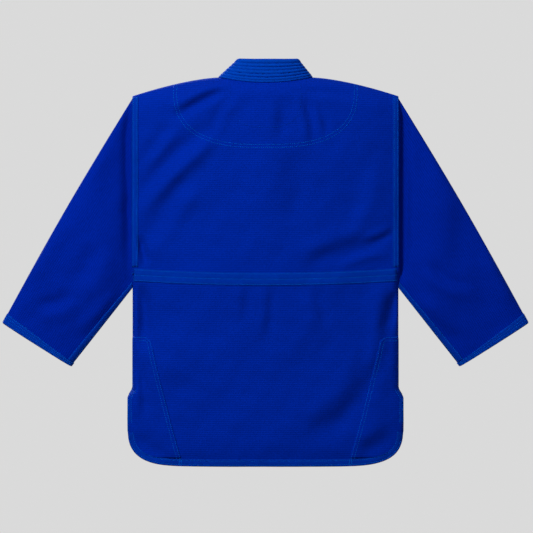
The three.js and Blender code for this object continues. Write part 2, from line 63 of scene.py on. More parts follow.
# ---- Places read from the frame, in metres
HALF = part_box("back_skirt")[1].x
HEM_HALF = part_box("back_tail")[1].x
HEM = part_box("back_tail")[0].z
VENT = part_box("back_tail")[1].z
ARMHOLE_HEIGHT = 0.397
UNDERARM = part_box("left_sleeve")[1].z - ARMHOLE_HEIGHT
NECK_HALF = 0.098  # centre line to the inner end of the shoulder
SHOULDER_DROP = 0.039
NECK_DIP = 0.011  # fall of the back neckline at the centre
WAIST = -0.411  # waist seam at the sides
WAIST_SAG = 0.009  # how much lower it lies at the centre
HEM_CORNER_ACROSS = 0.138
HEM_CORNER_UP = 0.087
FLARE_HEIGHT = 0.020  # height over which the sides flare below the top of the vent
MID_DEPTH = 0.040  # half the depth of the hollow body at its centre
EDGE_DEPTH = 0.014  # half the depth of the armhole
SHOULDER_ROUND = 0.050  # height over which the shoulder fold opens out
SIDE_ROUND = 0.016  # width over which the side fold closes
UNDERARM_TURN = 0.045  # height over which it closes below the underarm
VENT_EDGE_DEPTH = 0.008
VENT_TURN = 0.045
FRONT_LAYER = 0.010  # how far the outer front stands off over the inner one
LAYER_SIDE = 0.040  # side seam to where it starts to stand off
LAYER_ACROSS = 0.110
LAYER_TOP = 0.060
LAYER_DOWN = 0.200
LAPEL_CROSS = 0.088  # how far past the centre line a lapel seam ends at the hem
LAPEL_SPREAD = 0.98  # width of a lapel seen from the front, over its own width
LAPEL_SLANT = 0.22  # rise across a lapel's width
LAPEL_SETTLE = 0.12  # share of a lapel over which it leaves the collar
PATCH_TOP = -0.538
PATCH_TOP_WIDTH = 0.040
PATCH_HEM_HALF = 0.169
PATCH_CORNER = 0.014
PATCH_ROWS = (0.0030, 0.0095)  # the patch's edge to its stitch rows
YOKE_DEPTH = -0.149
NECK_PATCH = (0.073, -0.045, -0.107)  # half width, where its side turns, bottom
CUFF_OUTER = (0.547, -0.511)
CUFF_INNER = (0.405, -0.601)
SLEEVE_MID_DEPTH = 0.026
CUFF_DEPTH = 0.020
CUFF_ROUND = 0.36  # length given to one turn round the cuff
SIDES = {"left": -1, "right": 1}

# Small clearances and layers, in metres.
CLEAR = 0.0002
EDGE_INSET = 0.0003
SEAM_GAP = 0.0005
ON_PATCH = 0.0011  # lift of stitches that lie on a side patch
BAND_STEP = 0.0045
LINE_STEP = 0.004

# Powers that set how sharply a curve turns.
SHOULDER_CURVE = 1.5
HEM_CURVE = 3.2
U_CURVE = 2.7
DEPTH_CURVE = 2.5
PATCH_CURVE = 1.12


# ---- What a user would change
class JacketSizes(bpy.types.PropertyGroup):
    """Sizes of the cloth, bands and stitches."""

    cloth: bpy.props.FloatProperty(name="Cloth", description="Thickness of the jacket cloth",
                                   default=0.0015, unit="LENGTH")
    tape: bpy.props.FloatProperty(name="Tape", description="Thickness of sewn-on bands",
                                  default=0.0013, unit="LENGTH")
    step: bpy.props.FloatProperty(name="Mesh step", description="Spacing of the cloth mesh",
                                  default=0.0044, unit="LENGTH")
    waist_band: bpy.props.FloatProperty(name="Waist band", description="Width of the waist band",
                                        default=0.027, unit="LENGTH")
    hem_band: bpy.props.FloatProperty(name="Hem band", description="Width of the hem band",
                                      default=0.015, unit="LENGTH")
    vent_band: bpy.props.FloatProperty(name="Vent band", description="Width of the vent edge band",
                                       default=0.010, unit="LENGTH")
    cuff_band: bpy.props.FloatProperty(name="Cuff band", description="Width of the cuff band",
                                       default=0.022, unit="LENGTH")
    armhole_band: bpy.props.FloatProperty(name="Armhole band", description="Width of the armhole band",
                                          default=0.013, unit="LENGTH")
    collar_width: bpy.props.FloatProperty(name="Collar width", description="Width of collar and lapels",
                                          default=0.050, unit="LENGTH")
    collar_thick: bpy.props.FloatProperty(name="Collar thickness", description="Thickness over the core",
                                          default=0.007, unit="LENGTH")
    stitch_pitch: bpy.props.FloatProperty(name="Stitch pitch", description="Distance between stitches",
                                          default=0.0040, unit="LENGTH")
    stitch_length: bpy.props.FloatProperty(name="Stitch length", description="Length of one stitch",
                                           default=0.0031, unit="LENGTH")
    stitch_width: bpy.props.FloatProperty(name="Stitch width", description="Width of one stitch",
                                          default=0.0013, unit="LENGTH")


class JacketColours(bpy.types.PropertyGroup):
    """Colours of cloth and thread, and of the surround."""

    cloth: bpy.props.FloatVectorProperty(name="Cloth", description="Colour of the jacket cloth",
                                         subtype="COLOR", size=3, default=(0.0, 0.0190, 0.3400))
    collar: bpy.props.FloatVectorProperty(name="Collar", description="Colour of the collar cloth",
                                          subtype="COLOR", size=3, default=(0.0, 0.0500, 0.4400))
    sleeve: bpy.props.FloatVectorProperty(name="Sleeve", description="Colour of the sleeve cloth",
                                          subtype="COLOR", size=3, default=(0.0, 0.0150, 0.3150))
    tape: bpy.props.FloatVectorProperty(name="Tape", description="Colour of the bands",
                                        subtype="COLOR", size=3, default=(0.0, 0.0290, 0.3700))
    thread: bpy.props.FloatVectorProperty(name="Thread", description="Colour of the stitches",
                                          subtype="COLOR", size=3, default=(0.0, 0.1200, 0.6500))
    surround: bpy.props.FloatVectorProperty(name="Surround", description="Colour of floor and backdrop",
                                            subtype="COLOR", size=3, default=(0.7010, 0.7010, 0.7010))
    ambient: bpy.props.FloatVectorProperty(name="Ambient", description="Colour of the light from all round",
                                           subtype="COLOR", size=3, default=(0.1300, 0.1300, 0.1300))


def sizes():
    return bpy.context.scene.jacket_sizes


def colours():
    return bpy.context.scene.jacket_colours


# ---- Smooth helpers
def clamp(t):
    return np.clip(t, 0.0, 1.0)


def smooth(t):
    t = clamp(t)
    return t * t * (3 - 2 * t)


def mix(a, b, t):
    return a + (b - a) * t


# ---- Outlines of the jacket
def shoulder_height(x):
    return -SHOULDER_DROP * clamp((np.abs(x) - NECK_HALF) / (HALF - NECK_HALF)) ** SHOULDER_CURVE


def neckline_height(x):
    return shoulder_height(x) - NECK_DIP * clamp(1 - (x / NECK_HALF) ** 2)


def waist_height(x):
    return WAIST - WAIST_SAG * (1 - clamp(np.abs(x) / HALF) ** 2)


def hem_height(x):
    along = clamp((np.abs(x) - (HEM_HALF - HEM_CORNER_ACROSS)) / HEM_CORNER_ACROSS)
    return HEM + HEM_CORNER_UP * (1 - (1 - along**HEM_CURVE) ** (1 / HEM_CURVE))


def half_width(z):
    return HALF + (HEM_HALF - HALF) * smooth((VENT - z) / FLARE_HEIGHT)


def lapel_seam(z):
    """Where a lapel's seam edge lies, measured from the centre towards its own side."""
    return mix(NECK_HALF, -LAPEL_CROSS, z / HEM)


def patch_inner(z):
    down = clamp((PATCH_TOP - z) / (PATCH_TOP - HEM))
    corner = PATCH_CORNER * clamp(1 - (PATCH_TOP - z) / PATCH_CORNER) ** 2
    return mix(HALF - PATCH_TOP_WIDTH, PATCH_HEM_HALF, down**PATCH_CURVE) + corner


def u_height(x, half, side, depth):
    return side + (depth - side) * (1 - clamp(np.abs(x) / half) ** U_CURVE) ** (1 / U_CURVE)


# ---- Folds
# A fold is a line of points in the plane of the cloth, a half width, and a height, below zero for a
# valley. It fades out at both ends. A second height gives it a companion on its right-hand side.
FOLD_GAIN = 1.2
BACK_FOLDS = {
    "neck_to_shoulder": ([(-0.062, -0.020), (-0.128, -0.050), (-0.200, -0.092)], 0.011, -0.0068, 0.0052),
    "neck_to_armhole": ([(-0.085, -0.112), (-0.150, -0.168), (-0.205, -0.222), (-0.266, -0.300)],
                        0.017, 0.0100, -0.0070),
    "armhole_fan": ([(-0.120, -0.215), (-0.165, -0.262), (-0.205, -0.330), (-0.258, -0.392)],
                    0.020, 0.0060, -0.0050),
    "armhole_upper": ([(-0.165, -0.095), (-0.212, -0.150), (-0.255, -0.205)], 0.012, 0.0030, -0.0030),
    "armhole_lower": ([(-0.150, -0.260), (-0.200, -0.310), (-0.225, -0.372)], 0.026, -0.0050, 0.0000),
    "yoke_left": ([(-0.040, -0.030), (-0.082, -0.078), (-0.100, -0.140)], 0.010, 0.0022, -0.0022),
    "side_pucker": ([(-0.262, -0.325), (-0.254, -0.362), (-0.246, -0.398)], 0.009, -0.0080, 0.0050),
    "left_below_waist": ([(-0.258, -0.424), (-0.250, -0.490), (-0.254, -0.580)], 0.015, -0.0110, 0.0050),
    "left_vent": ([(-0.258, -0.590), (-0.252, -0.650), (-0.247, -0.715)], 0.010, -0.0048, 0.0030),
    "neck_right": ([(0.076, -0.030), (0.094, -0.085), (0.100, -0.150)], 0.009, -0.0042, 0.0030),
    "neck_right_outer": ([(0.104, -0.050), (0.122, -0.090), (0.128, -0.130)], 0.007, -0.0027, 0.0022),
    "neck_inner": ([(0.030, -0.035), (0.036, -0.090), (0.030, -0.150)], 0.012, -0.0028, 0.0018),
    "right_shoulder": ([(0.070, -0.030), (0.130, -0.031), (0.190, -0.036)], 0.012, -0.0040, 0.0000),
    "centre_back": ([(0.004, -0.040), (0.006, -0.200), (0.002, -0.390)], 0.038, 0.0050, 0.0000),
    "centre_right": ([(0.060, -0.150), (0.066, -0.240), (0.060, -0.340)], 0.024, -0.0028, 0.0000),
    "right_soft": ([(0.230, -0.180), (0.222, -0.260), (0.180, -0.330)], 0.022, 0.0040, -0.0030),
    "right_sharp": ([(0.277, -0.316), (0.240, -0.338), (0.196, -0.352)], 0.008, -0.0036, 0.0026),
    "right_waist": ([(0.240, -0.338), (0.150, -0.362), (0.058, -0.401)], 0.016, -0.0038, 0.0036),
    "right_low_ridge": ([(0.262, -0.362), (0.200, -0.376), (0.140, -0.396)], 0.009, 0.0030, -0.0022),
    "underarm_tuck": ([(0.280, -0.436), (0.262, -0.480), (0.244, -0.545)], 0.016, -0.0075, 0.0040),
    "bow_upper": ([(0.238, -0.470), (0.226, -0.560), (0.205, -0.635)], 0.018, 0.0060, 0.0000),
    "bow_lower": ([(0.236, -0.560), (0.205, -0.650), (0.152, -0.712), (0.070, -0.752)], 0.024, -0.0068, 0.0045),
    "skirt_centre": ([(0.016, -0.425), (0.013, -0.480), (0.004, -0.550)], 0.010, -0.0032, 0.0026),
    "skirt_left": ([(-0.040, -0.425), (-0.036, -0.470), (-0.045, -0.520)], 0.010, -0.0024, 0.0020),
    "skirt_right": ([(0.098, -0.430), (0.118, -0.480), (0.130, -0.530)], 0.014, -0.0035, 0.0028),
    "left_belly": ([(-0.150, -0.520), (-0.185, -0.580), (-0.205, -0.640)], 0.055, 0.0055, 0.0000),
    "hem_right": ([(0.275, -0.725), (0.235, -0.765), (0.180, -0.780)], 0.018, -0.0050, 0.0030),
    "hem_left": ([(-0.275, -0.735), (-0.235, -0.772), (-0.190, -0.784)], 0.016, -0.0040, 0.0020),
}
LEFT_FRONT_FOLDS = {
    "chest": ([(-0.235, -0.150), (-0.170, -0.250), (-0.085, -0.350)], 0.020, 0.0060, -0.0040),
    "shoulder": ([(-0.130, -0.030), (-0.165, -0.090), (-0.215, -0.140)], 0.013, -0.0045, 0.0030),
    "under_lapel": ([(-0.100, -0.110), (-0.085, -0.210), (-0.045, -0.300)], 0.014, -0.0035, 0.0025),
    "waist": ([(-0.262, -0.340), (-0.190, -0.372), (-0.110, -0.398)], 0.010, -0.0045, 0.0035),
    "skirt_a": ([(-0.215, -0.430), (-0.190, -0.530), (-0.195, -0.650)], 0.020, 0.0060, -0.0040),
    "skirt_b": ([(-0.095, -0.430), (-0.070, -0.520), (-0.085, -0.640)], 0.022, -0.0050, 0.0040),
    "skirt_c": ([(0.010, -0.440), (0.025, -0.540), (0.020, -0.680)], 0.018, 0.0040, -0.0030),
    "hem": ([(-0.250, -0.690), (-0.180, -0.755), (-0.090, -0.775)], 0.018, -0.0050, 0.0030),
}
RIGHT_FRONT_FOLDS = {
    "chest": ([(0.240, -0.130), (0.180, -0.225), (0.110, -0.330)], 0.018, 0.0060, -0.0040),
    "shoulder": ([(0.125, -0.035), (0.170, -0.080), (0.225, -0.125)], 0.012, -0.0040, 0.0030),
    "waist": ([(0.262, -0.352), (0.200, -0.378), (0.130, -0.396)], 0.010, -0.0045, 0.0035),
    "side": ([(0.258, -0.440), (0.246, -0.520), (0.250, -0.620)], 0.013, -0.0060, 0.0040),
    "skirt": ([(0.190, -0.440), (0.205, -0.540), (0.190, -0.660)], 0.020, 0.0050, -0.0040),
}


def along_path(points, x, z):
    """Signed distance to a line of points, right-hand side positive, and the share along it."""
    knots = np.array(points, float)
    rows = np.linspace(0, len(knots) - 1, 8 * (len(knots) - 1) + 1)
    fine = np.stack([np.interp(rows, range(len(knots)), knots[:, k]) for k in (0, 1)], axis=1)
    for _ in range(4):
        fine[1:-1] = (fine[:-2] + 2 * fine[1:-1] + fine[2:]) / 4
    best = np.full(x.shape, 1e9)
    signed, share = np.zeros(x.shape), np.zeros(x.shape)
    for i in range(len(fine) - 1):
        (ax, az), (bx, bz) = fine[i], fine[i + 1]
        dx, dz = bx - ax, bz - az
        length = math.hypot(dx, dz)
        raw = ((x - ax) * dx + (z - az) * dz) / length**2
        t = clamp(raw)
        away = np.hypot(x - ax - t * dx, z - az - t * dz)
        side = np.where((x - ax) * dz - (z - az) * dx >= 0, 1.0, -1.0)
        near = away < best
        best = np.where(near, away, best)
        signed = np.where(near, away * side, signed)
        share = np.where(near, (i + t) / (len(fine) - 1), share)
    return signed, share


def fold_height(folds, x, z):
    height = np.zeros(x.shape)
    for points, width, main, companion in folds.values():
        (low_x, low_z), (high_x, high_z) = np.min(points, axis=0), np.max(points, axis=0)
        reach = 4 * width
        inside = (x > low_x - reach) & (x < high_x + reach) & (z > low_z - reach) & (z < high_z + reach)
        if not inside.any():
            continue
        distance, share = along_path(points, x[inside], z[inside])
        fade = smooth(share / 0.35) * smooth((1 - share) / 0.35)
        near = distance / width
        shape = main * np.exp(-(near**2)) + companion * np.exp(-((near - 1.7) ** 2) * 0.8)
        height[inside] += shape * fade * FOLD_GAIN
    return height


def ripple(x, z, seed):
    """Gentle unevenness of heavy cloth: slow swells and small waves, all fixed by the seed."""
    draw = np.random.default_rng(seed)
    height = np.zeros(np.broadcast(x, z).shape)
    for wave, size in ((0.160, 0.0011), (0.085, 0.0008), (0.045, 0.00035), (0.022, 0.00012)):
        for _ in range(4):
            turn, phase = draw.uniform(0, math.pi), draw.uniform(0, 2 * math.pi)
            reach = wave * draw.uniform(0.8, 1.25)
            run = (x * math.cos(turn) + z * math.sin(turn)) * 2 * math.pi / reach
            height = height + size / 2 * np.sin(run + phase)
    return height


# ---- Body surface
def body_depth(x, z):
    full = mix(MID_DEPTH, EDGE_DEPTH, clamp(np.abs(x) / HALF) ** DEPTH_CURVE)
    rise = NECK_DIP / 2 * clamp(1 - (x / NECK_HALF) ** 2)
    below = clamp((shoulder_height(x) + rise - z) / SHOULDER_ROUND)
    opened = np.sqrt(1 - (1 - below) ** 2)
    half = half_width(z)
    edge = clamp((np.abs(x) - (half - SIDE_ROUND)) / SIDE_ROUND)
    vent = 1 - VENT_EDGE_DEPTH / EDGE_DEPTH * smooth((VENT - z) / VENT_TURN)
    closing = smooth((UNDERARM + UNDERARM_TURN - z) / UNDERARM_TURN) * vent
    return full * opened * (1 - closing * (1 - np.sqrt(np.clip(1 - edge**2, 0, 1))))


class Face:
    """The back or one front of the jacket: depth over the width and height, with its folds."""

    def __init__(self, facing, folds, seed, side=0, layer=0.0):
        self.facing, self.folds, self.seed, self.side, self.layer = facing, folds, seed, side, layer

    def depth(self, x, z):
        x, z = np.broadcast_arrays(np.asarray(x, float), np.asarray(z, float))
        top = smooth((shoulder_height(x) - z - 0.004) / 0.030)
        edge = smooth((half_width(z) - np.abs(x)) / 0.014)
        depth = body_depth(x, z) + (fold_height(self.folds, x, z) + ripple(x, z, self.seed)) * top * edge
        if self.side:
            past = (HALF - LAYER_SIDE - x * self.side) / LAYER_ACROSS
            layer = self.layer * smooth(past) * smooth((-z - LAYER_TOP) / LAYER_DOWN)
            under = 0.0 if self.layer else smooth((0.120 - x * self.side) / 0.080)
            calm = (body_depth(x, z) - 0.0030) * under + depth * (1 - under)
            depth = (calm if not self.layer else depth) + layer
        tuck = 0.006 * smooth((hem_height(x) + 0.060 - z) / 0.060) ** 2
        return np.maximum(depth - tuck, CLEAR)

    def point(self, x, z, lift=0.0):
        """Points on the face, lifted off it along its outward direction."""
        x, z = np.broadcast_arrays(np.asarray(x, float), np.asarray(z, float))
        half = half_width(z) - CLEAR
        x = np.clip(x, -half, half)
        depth = self.depth(x, z)
        step = 0.0004
        low, high = np.maximum(x - step, -half), np.minimum(x + step, half)
        slope_x = (self.depth(high, z) - self.depth(low, z)) / (high - low)
        slope_z = (self.depth(x, z + step) - self.depth(x, z - step)) / (2 * step)
        normal = np.stack([-slope_x, np.full(x.shape, float(self.facing)), -slope_z], axis=-1)
        normal /= np.linalg.norm(normal, axis=-1, keepdims=True)
        place = np.stack([x, self.facing * depth, z], axis=-1)
        return place + normal * np.asarray(lift)[..., None]


BACK = Face(-1, BACK_FOLDS, 11)
FRONTS = {"left": Face(1, LEFT_FRONT_FOLDS, 23, side=-1, layer=FRONT_LAYER),
          "right": Face(1, RIGHT_FRONT_FOLDS, 37, side=1)}


# ---- Meshes
def deselect():
    bpy.ops.object.select_all(action="DESELECT")


def pick(thing):
    deselect()
    thing.select_set(True)
    bpy.context.view_layer.objects.active = thing


def mesh_object(name, points, faces, flat, material):
    """A mesh from points and faces, with flat cloth coordinates in metres as its UV map."""
    mesh = bpy.data.meshes.new(name)
    mesh.from_pydata(np.asarray(points).reshape(-1, 3).tolist(), [], faces)
    layer = mesh.uv_layers.new(name="flat")
    corners = np.zeros(len(mesh.loops), np.int32)
    mesh.loops.foreach_get("vertex_index", corners)
    layer.data.foreach_set("uv", np.asarray(flat, float).reshape(-1, 2)[corners].ravel())
    mesh.update()
    thing = bpy.data.objects.new(name, mesh)
    bpy.context.scene.collection.objects.link(thing)
    mesh.materials.append(material)
    mesh.shade_smooth()
    return thing


def grid_faces(rows, columns, flip=False, wrap=False):
    """Quads of a grid of points laid out row by row. wrap joins the last row to the first."""
    index = np.arange(rows * columns).reshape(rows, columns)
    here = index if wrap else index[:-1]
    there = np.roll(index, -1, axis=0) if wrap else index[1:]
    quads = np.stack([here[:, :-1], there[:, :-1], there[:, 1:], here[:, 1:]], axis=-1).reshape(-1, 4)
    if flip:
        quads = quads[:, ::-1]
    return quads.tolist()


def thicken(thing, thickness):
    """Gives a sheet its cloth thickness, inwards from the outer face."""
    pick(thing)
    wall = thing.modifiers.new("cloth", "SOLIDIFY")
    wall.thickness, wall.offset = thickness, -1
    bpy.ops.object.modifier_apply(modifier=wall.name)
    return thing


def surface_area(points):
    """Area of a grid of points."""
    a, b = points[1:, :-1] - points[:-1, :-1], points[:-1, 1:] - points[:-1, :-1]
    return float(np.linalg.norm(np.cross(a, b), axis=-1).sum())


def sheet_piece(name, points, flat, material, flip, thickness):
    rows, columns = points.shape[:2]
    thing = mesh_object(name, points, grid_faces(rows, columns, flip), flat, material)
    thing["area"] = surface_area(points)
    return thicken(thing, thickness)


def spread(count):
    """Shares from 0 to 1 that lie closer near both ends."""
    t = np.linspace(-1, 1, count)
    return (np.sin(t * math.pi / 2) * 0.75 + t * 0.25) / 2 + 0.5


def panel(name, face, width, left, right, bottom, top, material):
    """A cloth panel on a face. left, right give x at a height; bottom, top give z at an x."""
    step = sizes().step
    height = abs(float(top(np.array(0.0)) - bottom(np.array(0.0))))
    u = spread(int(width / step))[:, None]
    v = (1 - (1 - np.linspace(0, 1, int(height / step))) ** 1.25)[None, :]
    x = mix(-width / 2, width / 2, u) + 0 * v
    for _ in range(3):
        z = mix(bottom(x), top(x), v)
        x = mix(left(z), right(z), u)
    points = face.point(x, mix(bottom(x), top(x), v))
    flat = np.stack([x, z], axis=-1)
    return sheet_piece(name, points, flat, material, face.facing > 0, sizes().cloth)


# ---- Bands: strips sewn on a face, along a line of points
def resample(line, step):
    """The same line with points a step apart. Columns after the third are carried along."""
    runs = np.linalg.norm(np.diff(line[:, :3], axis=0), axis=1)
    reach = np.concatenate([[0], np.cumsum(runs)])
    count = max(2, int(round(reach[-1] / step)) + 1)
    at = np.linspace(0, reach[-1], count)
    return np.stack([np.interp(at, reach, line[:, k]) for k in range(line.shape[1])], axis=1), at


def sideways(line):
    """Unit directions to the left of a flat line, at each of its points."""
    ahead = np.gradient(line, axis=0)
    ahead /= np.linalg.norm(ahead, axis=1, keepdims=True)
    return np.stack([-ahead[:, 1], ahead[:, 0]], axis=1)


def band_profile(width, thickness, rows):
    """Across a band: places and heights. It is full between its edges and sinks at each stitch row."""
    across = np.unique(np.concatenate([np.linspace(0, 1, 15), *[[r - 0.04, r, r + 0.04] for r in rows]]))
    across = across[(across >= 0) & (across <= 1)]
    edge = np.minimum(across, 1 - across) * width
    height = thickness * np.sqrt(clamp(edge / 0.0012))
    for row in rows:
        height = height - 0.42 * thickness * np.exp(-(((across - row) * width / 0.0013) ** 2))
    return across, height + CLEAR


def band(name, place, line, width, rows, material, flip=False, thickness=None):
    """A band whose middle follows a flat line. place(x, z, lift) puts it on the cloth."""
    thickness = thickness or sizes().tape
    line, at = resample(np.asarray(line, float), BAND_STEP)
    left = sideways(line)
    across, height = band_profile(width, thickness, rows)
    ends = 0.6 * np.exp(-((np.minimum(at, at[-1] - at) / 0.0012) ** 2))
    spot = line[:, None, :] + left[:, None, :] * ((across - 0.5) * width)[None, :, None]
    lift = height[None, :] * (1 - ends[:, None])
    points = place(spot[..., 0], spot[..., 1], lift)
    flat = np.stack(np.broadcast_arrays(at[:, None], (across * width)[None, :]), axis=-1)
    count = points.shape[:2]
    thing = mesh_object(name, points, grid_faces(*count, flip), flat, material)
    return thicken(thing, 0.7 * thickness)


# ---- Stitches
def stitch_shape():
    """One stitch lying along X: a small closed grain, thick in the middle, with its tips sunk."""
    ring = [(math.cos(a), math.sin(a)) for a in np.linspace(0, 2 * math.pi, 5, endpoint=False)]
    points = [(-0.5, 0.0, -0.35)]
    for along, thick in ((-0.30, 0.75), (0.30, 0.75)):
        points += [(along, y * 0.5 * thick, z * 0.32 * thick + 0.10) for y, z in ring]
    points.append((0.5, 0.0, -0.35))
    sides = len(ring)
    tip = 2 * sides + 1
    faces = [(0, 1 + (i + 1) % sides, 1 + i) for i in range(sides)]
    faces += [(1 + i, 1 + (i + 1) % sides, 1 + sides + (i + 1) % sides, 1 + sides + i) for i in range(sides)]
    faces += [(tip, 1 + sides + i, 1 + sides + (i + 1) % sides) for i in range(sides)]
    return np.array(points), faces


def stitches(name, lines, material):
    """Stitches along lines in space. Each line is (points, normals) with the normals outward."""
    shape, pattern = stitch_shape()
    size = sizes()
    all_points, all_faces = [], []
    for line, normals in lines:
        both, at = resample(np.concatenate([line, normals], axis=1), size.stitch_pitch)
        if len(both) < 3:
            continue
        middle = (both[:-1, :3] + both[1:, :3]) / 2
        ahead = both[1:, :3] - both[:-1, :3]
        ahead /= np.linalg.norm(ahead, axis=1, keepdims=True)
        out = (both[:-1, 3:] + both[1:, 3:]) / 2
        out -= (out * ahead).sum(1, keepdims=True) * ahead
        out /= np.linalg.norm(out, axis=1, keepdims=True)
        side = np.cross(out, ahead)
        base = sum(len(p) for p in all_points)
        x = shape[None, :, 0, None] * size.stitch_length * ahead[:, None, :]
        y = shape[None, :, 1, None] * size.stitch_width * side[:, None, :]
        z = shape[None, :, 2, None] * size.stitch_width * out[:, None, :]
        all_points.append((middle[:, None, :] + x + y + z).reshape(-1, 3))
        for k in range(len(middle)):
            start = base + k * len(shape)
            all_faces += [tuple(start + i for i in face) for face in pattern]
    points = np.concatenate(all_points)
    return mesh_object(name, points, all_faces, points[:, [0, 2]], material)


def rows_on(place, line, width, rows, lift):
    """Stitch lines on a band: one for each row, at its share across the band's width."""
    line, _ = resample(np.asarray(line, float), LINE_STEP)
    left = sideways(line)
    made = []
    for row in rows:
        spot = line + left * (row - 0.5) * width
        low, high = place(spot[:, 0], spot[:, 1], lift), place(spot[:, 0], spot[:, 1], lift + 0.001)
        made.append((low, (high - low) / 0.001))
    return made


# ---- Materials
class Value:
    """A number in a material's node tree. Arithmetic on it adds Math nodes."""

    def __init__(self, tree, socket):
        self.tree, self.socket = tree, socket

    def _math(self, operation, other, swap=False):
        node = self.tree.nodes.new("ShaderNodeMath")
        node.operation = operation
        inputs = (other, self) if swap else (self, other)
        for slot, value in zip(node.inputs, inputs):
            if isinstance(value, Value):
                self.tree.links.new(value.socket, slot)
            elif value is not None:
                slot.default_value = value
        return Value(self.tree, node.outputs[0])

    def __add__(self, other):
        return self._math("ADD", other)

    __radd__ = __add__

    def __mul__(self, other):
        return self._math("MULTIPLY", other)

    __rmul__ = __mul__

    def __sub__(self, other):
        return self._math("SUBTRACT", other)

    def __rsub__(self, other):
        return self._math("SUBTRACT", other, swap=True)

    def sine(self):
        return self._math("SINE", None)


class Shader:
    """A material's node tree with one method that adds any node."""

    def __init__(self, name):
        self.material = bpy.data.materials.new(name)
        self.material.use_nodes = True
        self.tree = self.material.node_tree
        self.tree.nodes.clear()

    def node(self, kind, settings=None, **inputs):
        made = self.tree.nodes.new(kind)
        for key, value in (settings or {}).items():
            setattr(made, key, value)
        for key, value in inputs.items():
            slot = made.inputs[key.replace("_", " ")]
            if isinstance(value, Value):
                value = value.socket
            if isinstance(value, bpy.types.NodeSocket):
                self.tree.links.new(value, slot)
            else:
                slot.default_value = value
        return made

    def value(self, socket):
        return Value(self.tree, socket)

    def noise(self, place, scale, detail=2.0):
        made = self.node("ShaderNodeTexNoise", Vector=place, Scale=scale, Detail=detail)
        return self.value(made.outputs["Fac"])

    def blend_colours(self, dark, light, share):
        made = self.node("ShaderNodeMix", {"data_type": "RGBA"})
        self.tree.links.new(share.socket, made.inputs[0])
        for slot, colour in ((made.inputs[6], dark), (made.inputs[7], light)):
            if isinstance(colour, bpy.types.NodeSocket):
                self.tree.links.new(colour, slot)
            else:
                slot.default_value = (*colour, 1)
        return made.outputs[2]

    def finish(self, colour, height, roughness, sheen, bump, depth):
        raised = self.node("ShaderNodeBump", Height=height, Strength=bump, Distance=depth)
        skin = self.node("ShaderNodeBsdfPrincipled", Base_Color=colour, Normal=raised.outputs[0])
        if isinstance(roughness, Value):
            self.tree.links.new(roughness.socket, skin.inputs["Roughness"])
        else:
            skin.inputs["Roughness"].default_value = roughness
        skin.inputs["Specular IOR Level"].default_value = 0.20
        skin.inputs["Specular Tint"].default_value = (0.0, 0.12, 1.0, 1.0)
        skin.inputs["Sheen Weight"].default_value = sheen
        skin.inputs["Sheen Roughness"].default_value = 0.35
        skin.inputs["Sheen Tint"].default_value = (0.0, 0.32, 1.0, 1.0)
        out = self.node("ShaderNodeOutputMaterial")
        self.tree.links.new(skin.outputs[0], out.inputs[0])
        return self.material


def shade(colour, factor):
    return tuple(c * factor for c in colour)


def woven(name, colour, row_pitch, yarn_pitch, contrast, sheen):
    """Cloth woven in rows across the second flat coordinate, each row a string of small grains."""
    s = Shader(name)
    flat = s.node("ShaderNodeUVMap", {"uv_map": "flat"}).outputs[0]
    place = s.node("ShaderNodeTexCoord").outputs["Object"]
    split = s.node("ShaderNodeSeparateXYZ", Vector=flat)
    wobble = (s.noise(flat, 70.0) - 0.5) * 0.0016
    u, v = s.value(split.outputs[0]) + wobble, s.value(split.outputs[1]) + wobble
    row = (v * (2 * math.pi / row_pitch)).sine()
    half_row = (v * (math.pi / row_pitch)).sine()
    yarn = ((u + v * 0.5) * (2 * math.pi / yarn_pitch)).sine()
    grain = row * 0.34 + row * yarn * 0.22 + half_row * yarn * 0.14 + 0.5
    fibre = s.noise(flat, 2600.0, 1.0)
    slub = s.noise(flat, 220.0, 3.0)
    broad = s.noise(place, 5.0, 3.0)
    height = grain + fibre * 0.35
    tone = grain * contrast + slub * 0.60 + broad * 0.25 + (0.075 - contrast / 2)
    colour_out = s.blend_colours(shade(colour, 0.58), shade(colour, 1.46), tone)
    rough = 0.78 + fibre * 0.15
    return s.finish(colour_out, height, rough, sheen, 0.6, 0.0005)


def ribbed(name, colour, sheen):
    """Twill of the collar and tapes: fine slanted ridges along the strip."""
    s = Shader(name)
    flat = s.node("ShaderNodeUVMap", {"uv_map": "flat"}).outputs[0]
    split = s.node("ShaderNodeSeparateXYZ", Vector=flat)
    u, v = s.value(split.outputs[0]), s.value(split.outputs[1])
    twill = ((u + v) * (2 * math.pi / 0.0016)).sine() * 0.5 + 0.5
    cross = (v * (2 * math.pi / 0.0011)).sine() * 0.5 + 0.5
    fibre = s.noise(flat, 2200.0, 1.0)
    slub = s.noise(flat, 120.0, 3.0)
    height = twill * 0.7 + cross * 0.3 + fibre * 0.3
    tone = twill * 0.30 + slub * 0.50 + 0.10
    colour_out = s.blend_colours(shade(colour, 0.66), shade(colour, 1.36), tone)
    return s.finish(colour_out, height, 0.76 + fibre * 0.14, sheen, 0.5, 0.0004)


def twisted(name, colour):
    """Thread: bright fibres twisted round each stitch."""
    s = Shader(name)
    place = s.node("ShaderNodeTexCoord").outputs["Object"]
    split = s.node("ShaderNodeSeparateXYZ", Vector=place)
    run = s.value(split.outputs[0]) + s.value(split.outputs[2]) + s.value(split.outputs[1])
    ply = (run * (2 * math.pi / 0.0007)).sine() * 0.5 + 0.5
    lot = s.noise(place, 60.0, 2.0)
    colour_out = s.blend_colours(shade(colour, 0.75), shade(colour, 1.30), ply * 0.4 + lot * 0.6)
    return s.finish(colour_out, ply, 0.62, 0.2, 0.4, 0.0002)


MATERIALS = {}


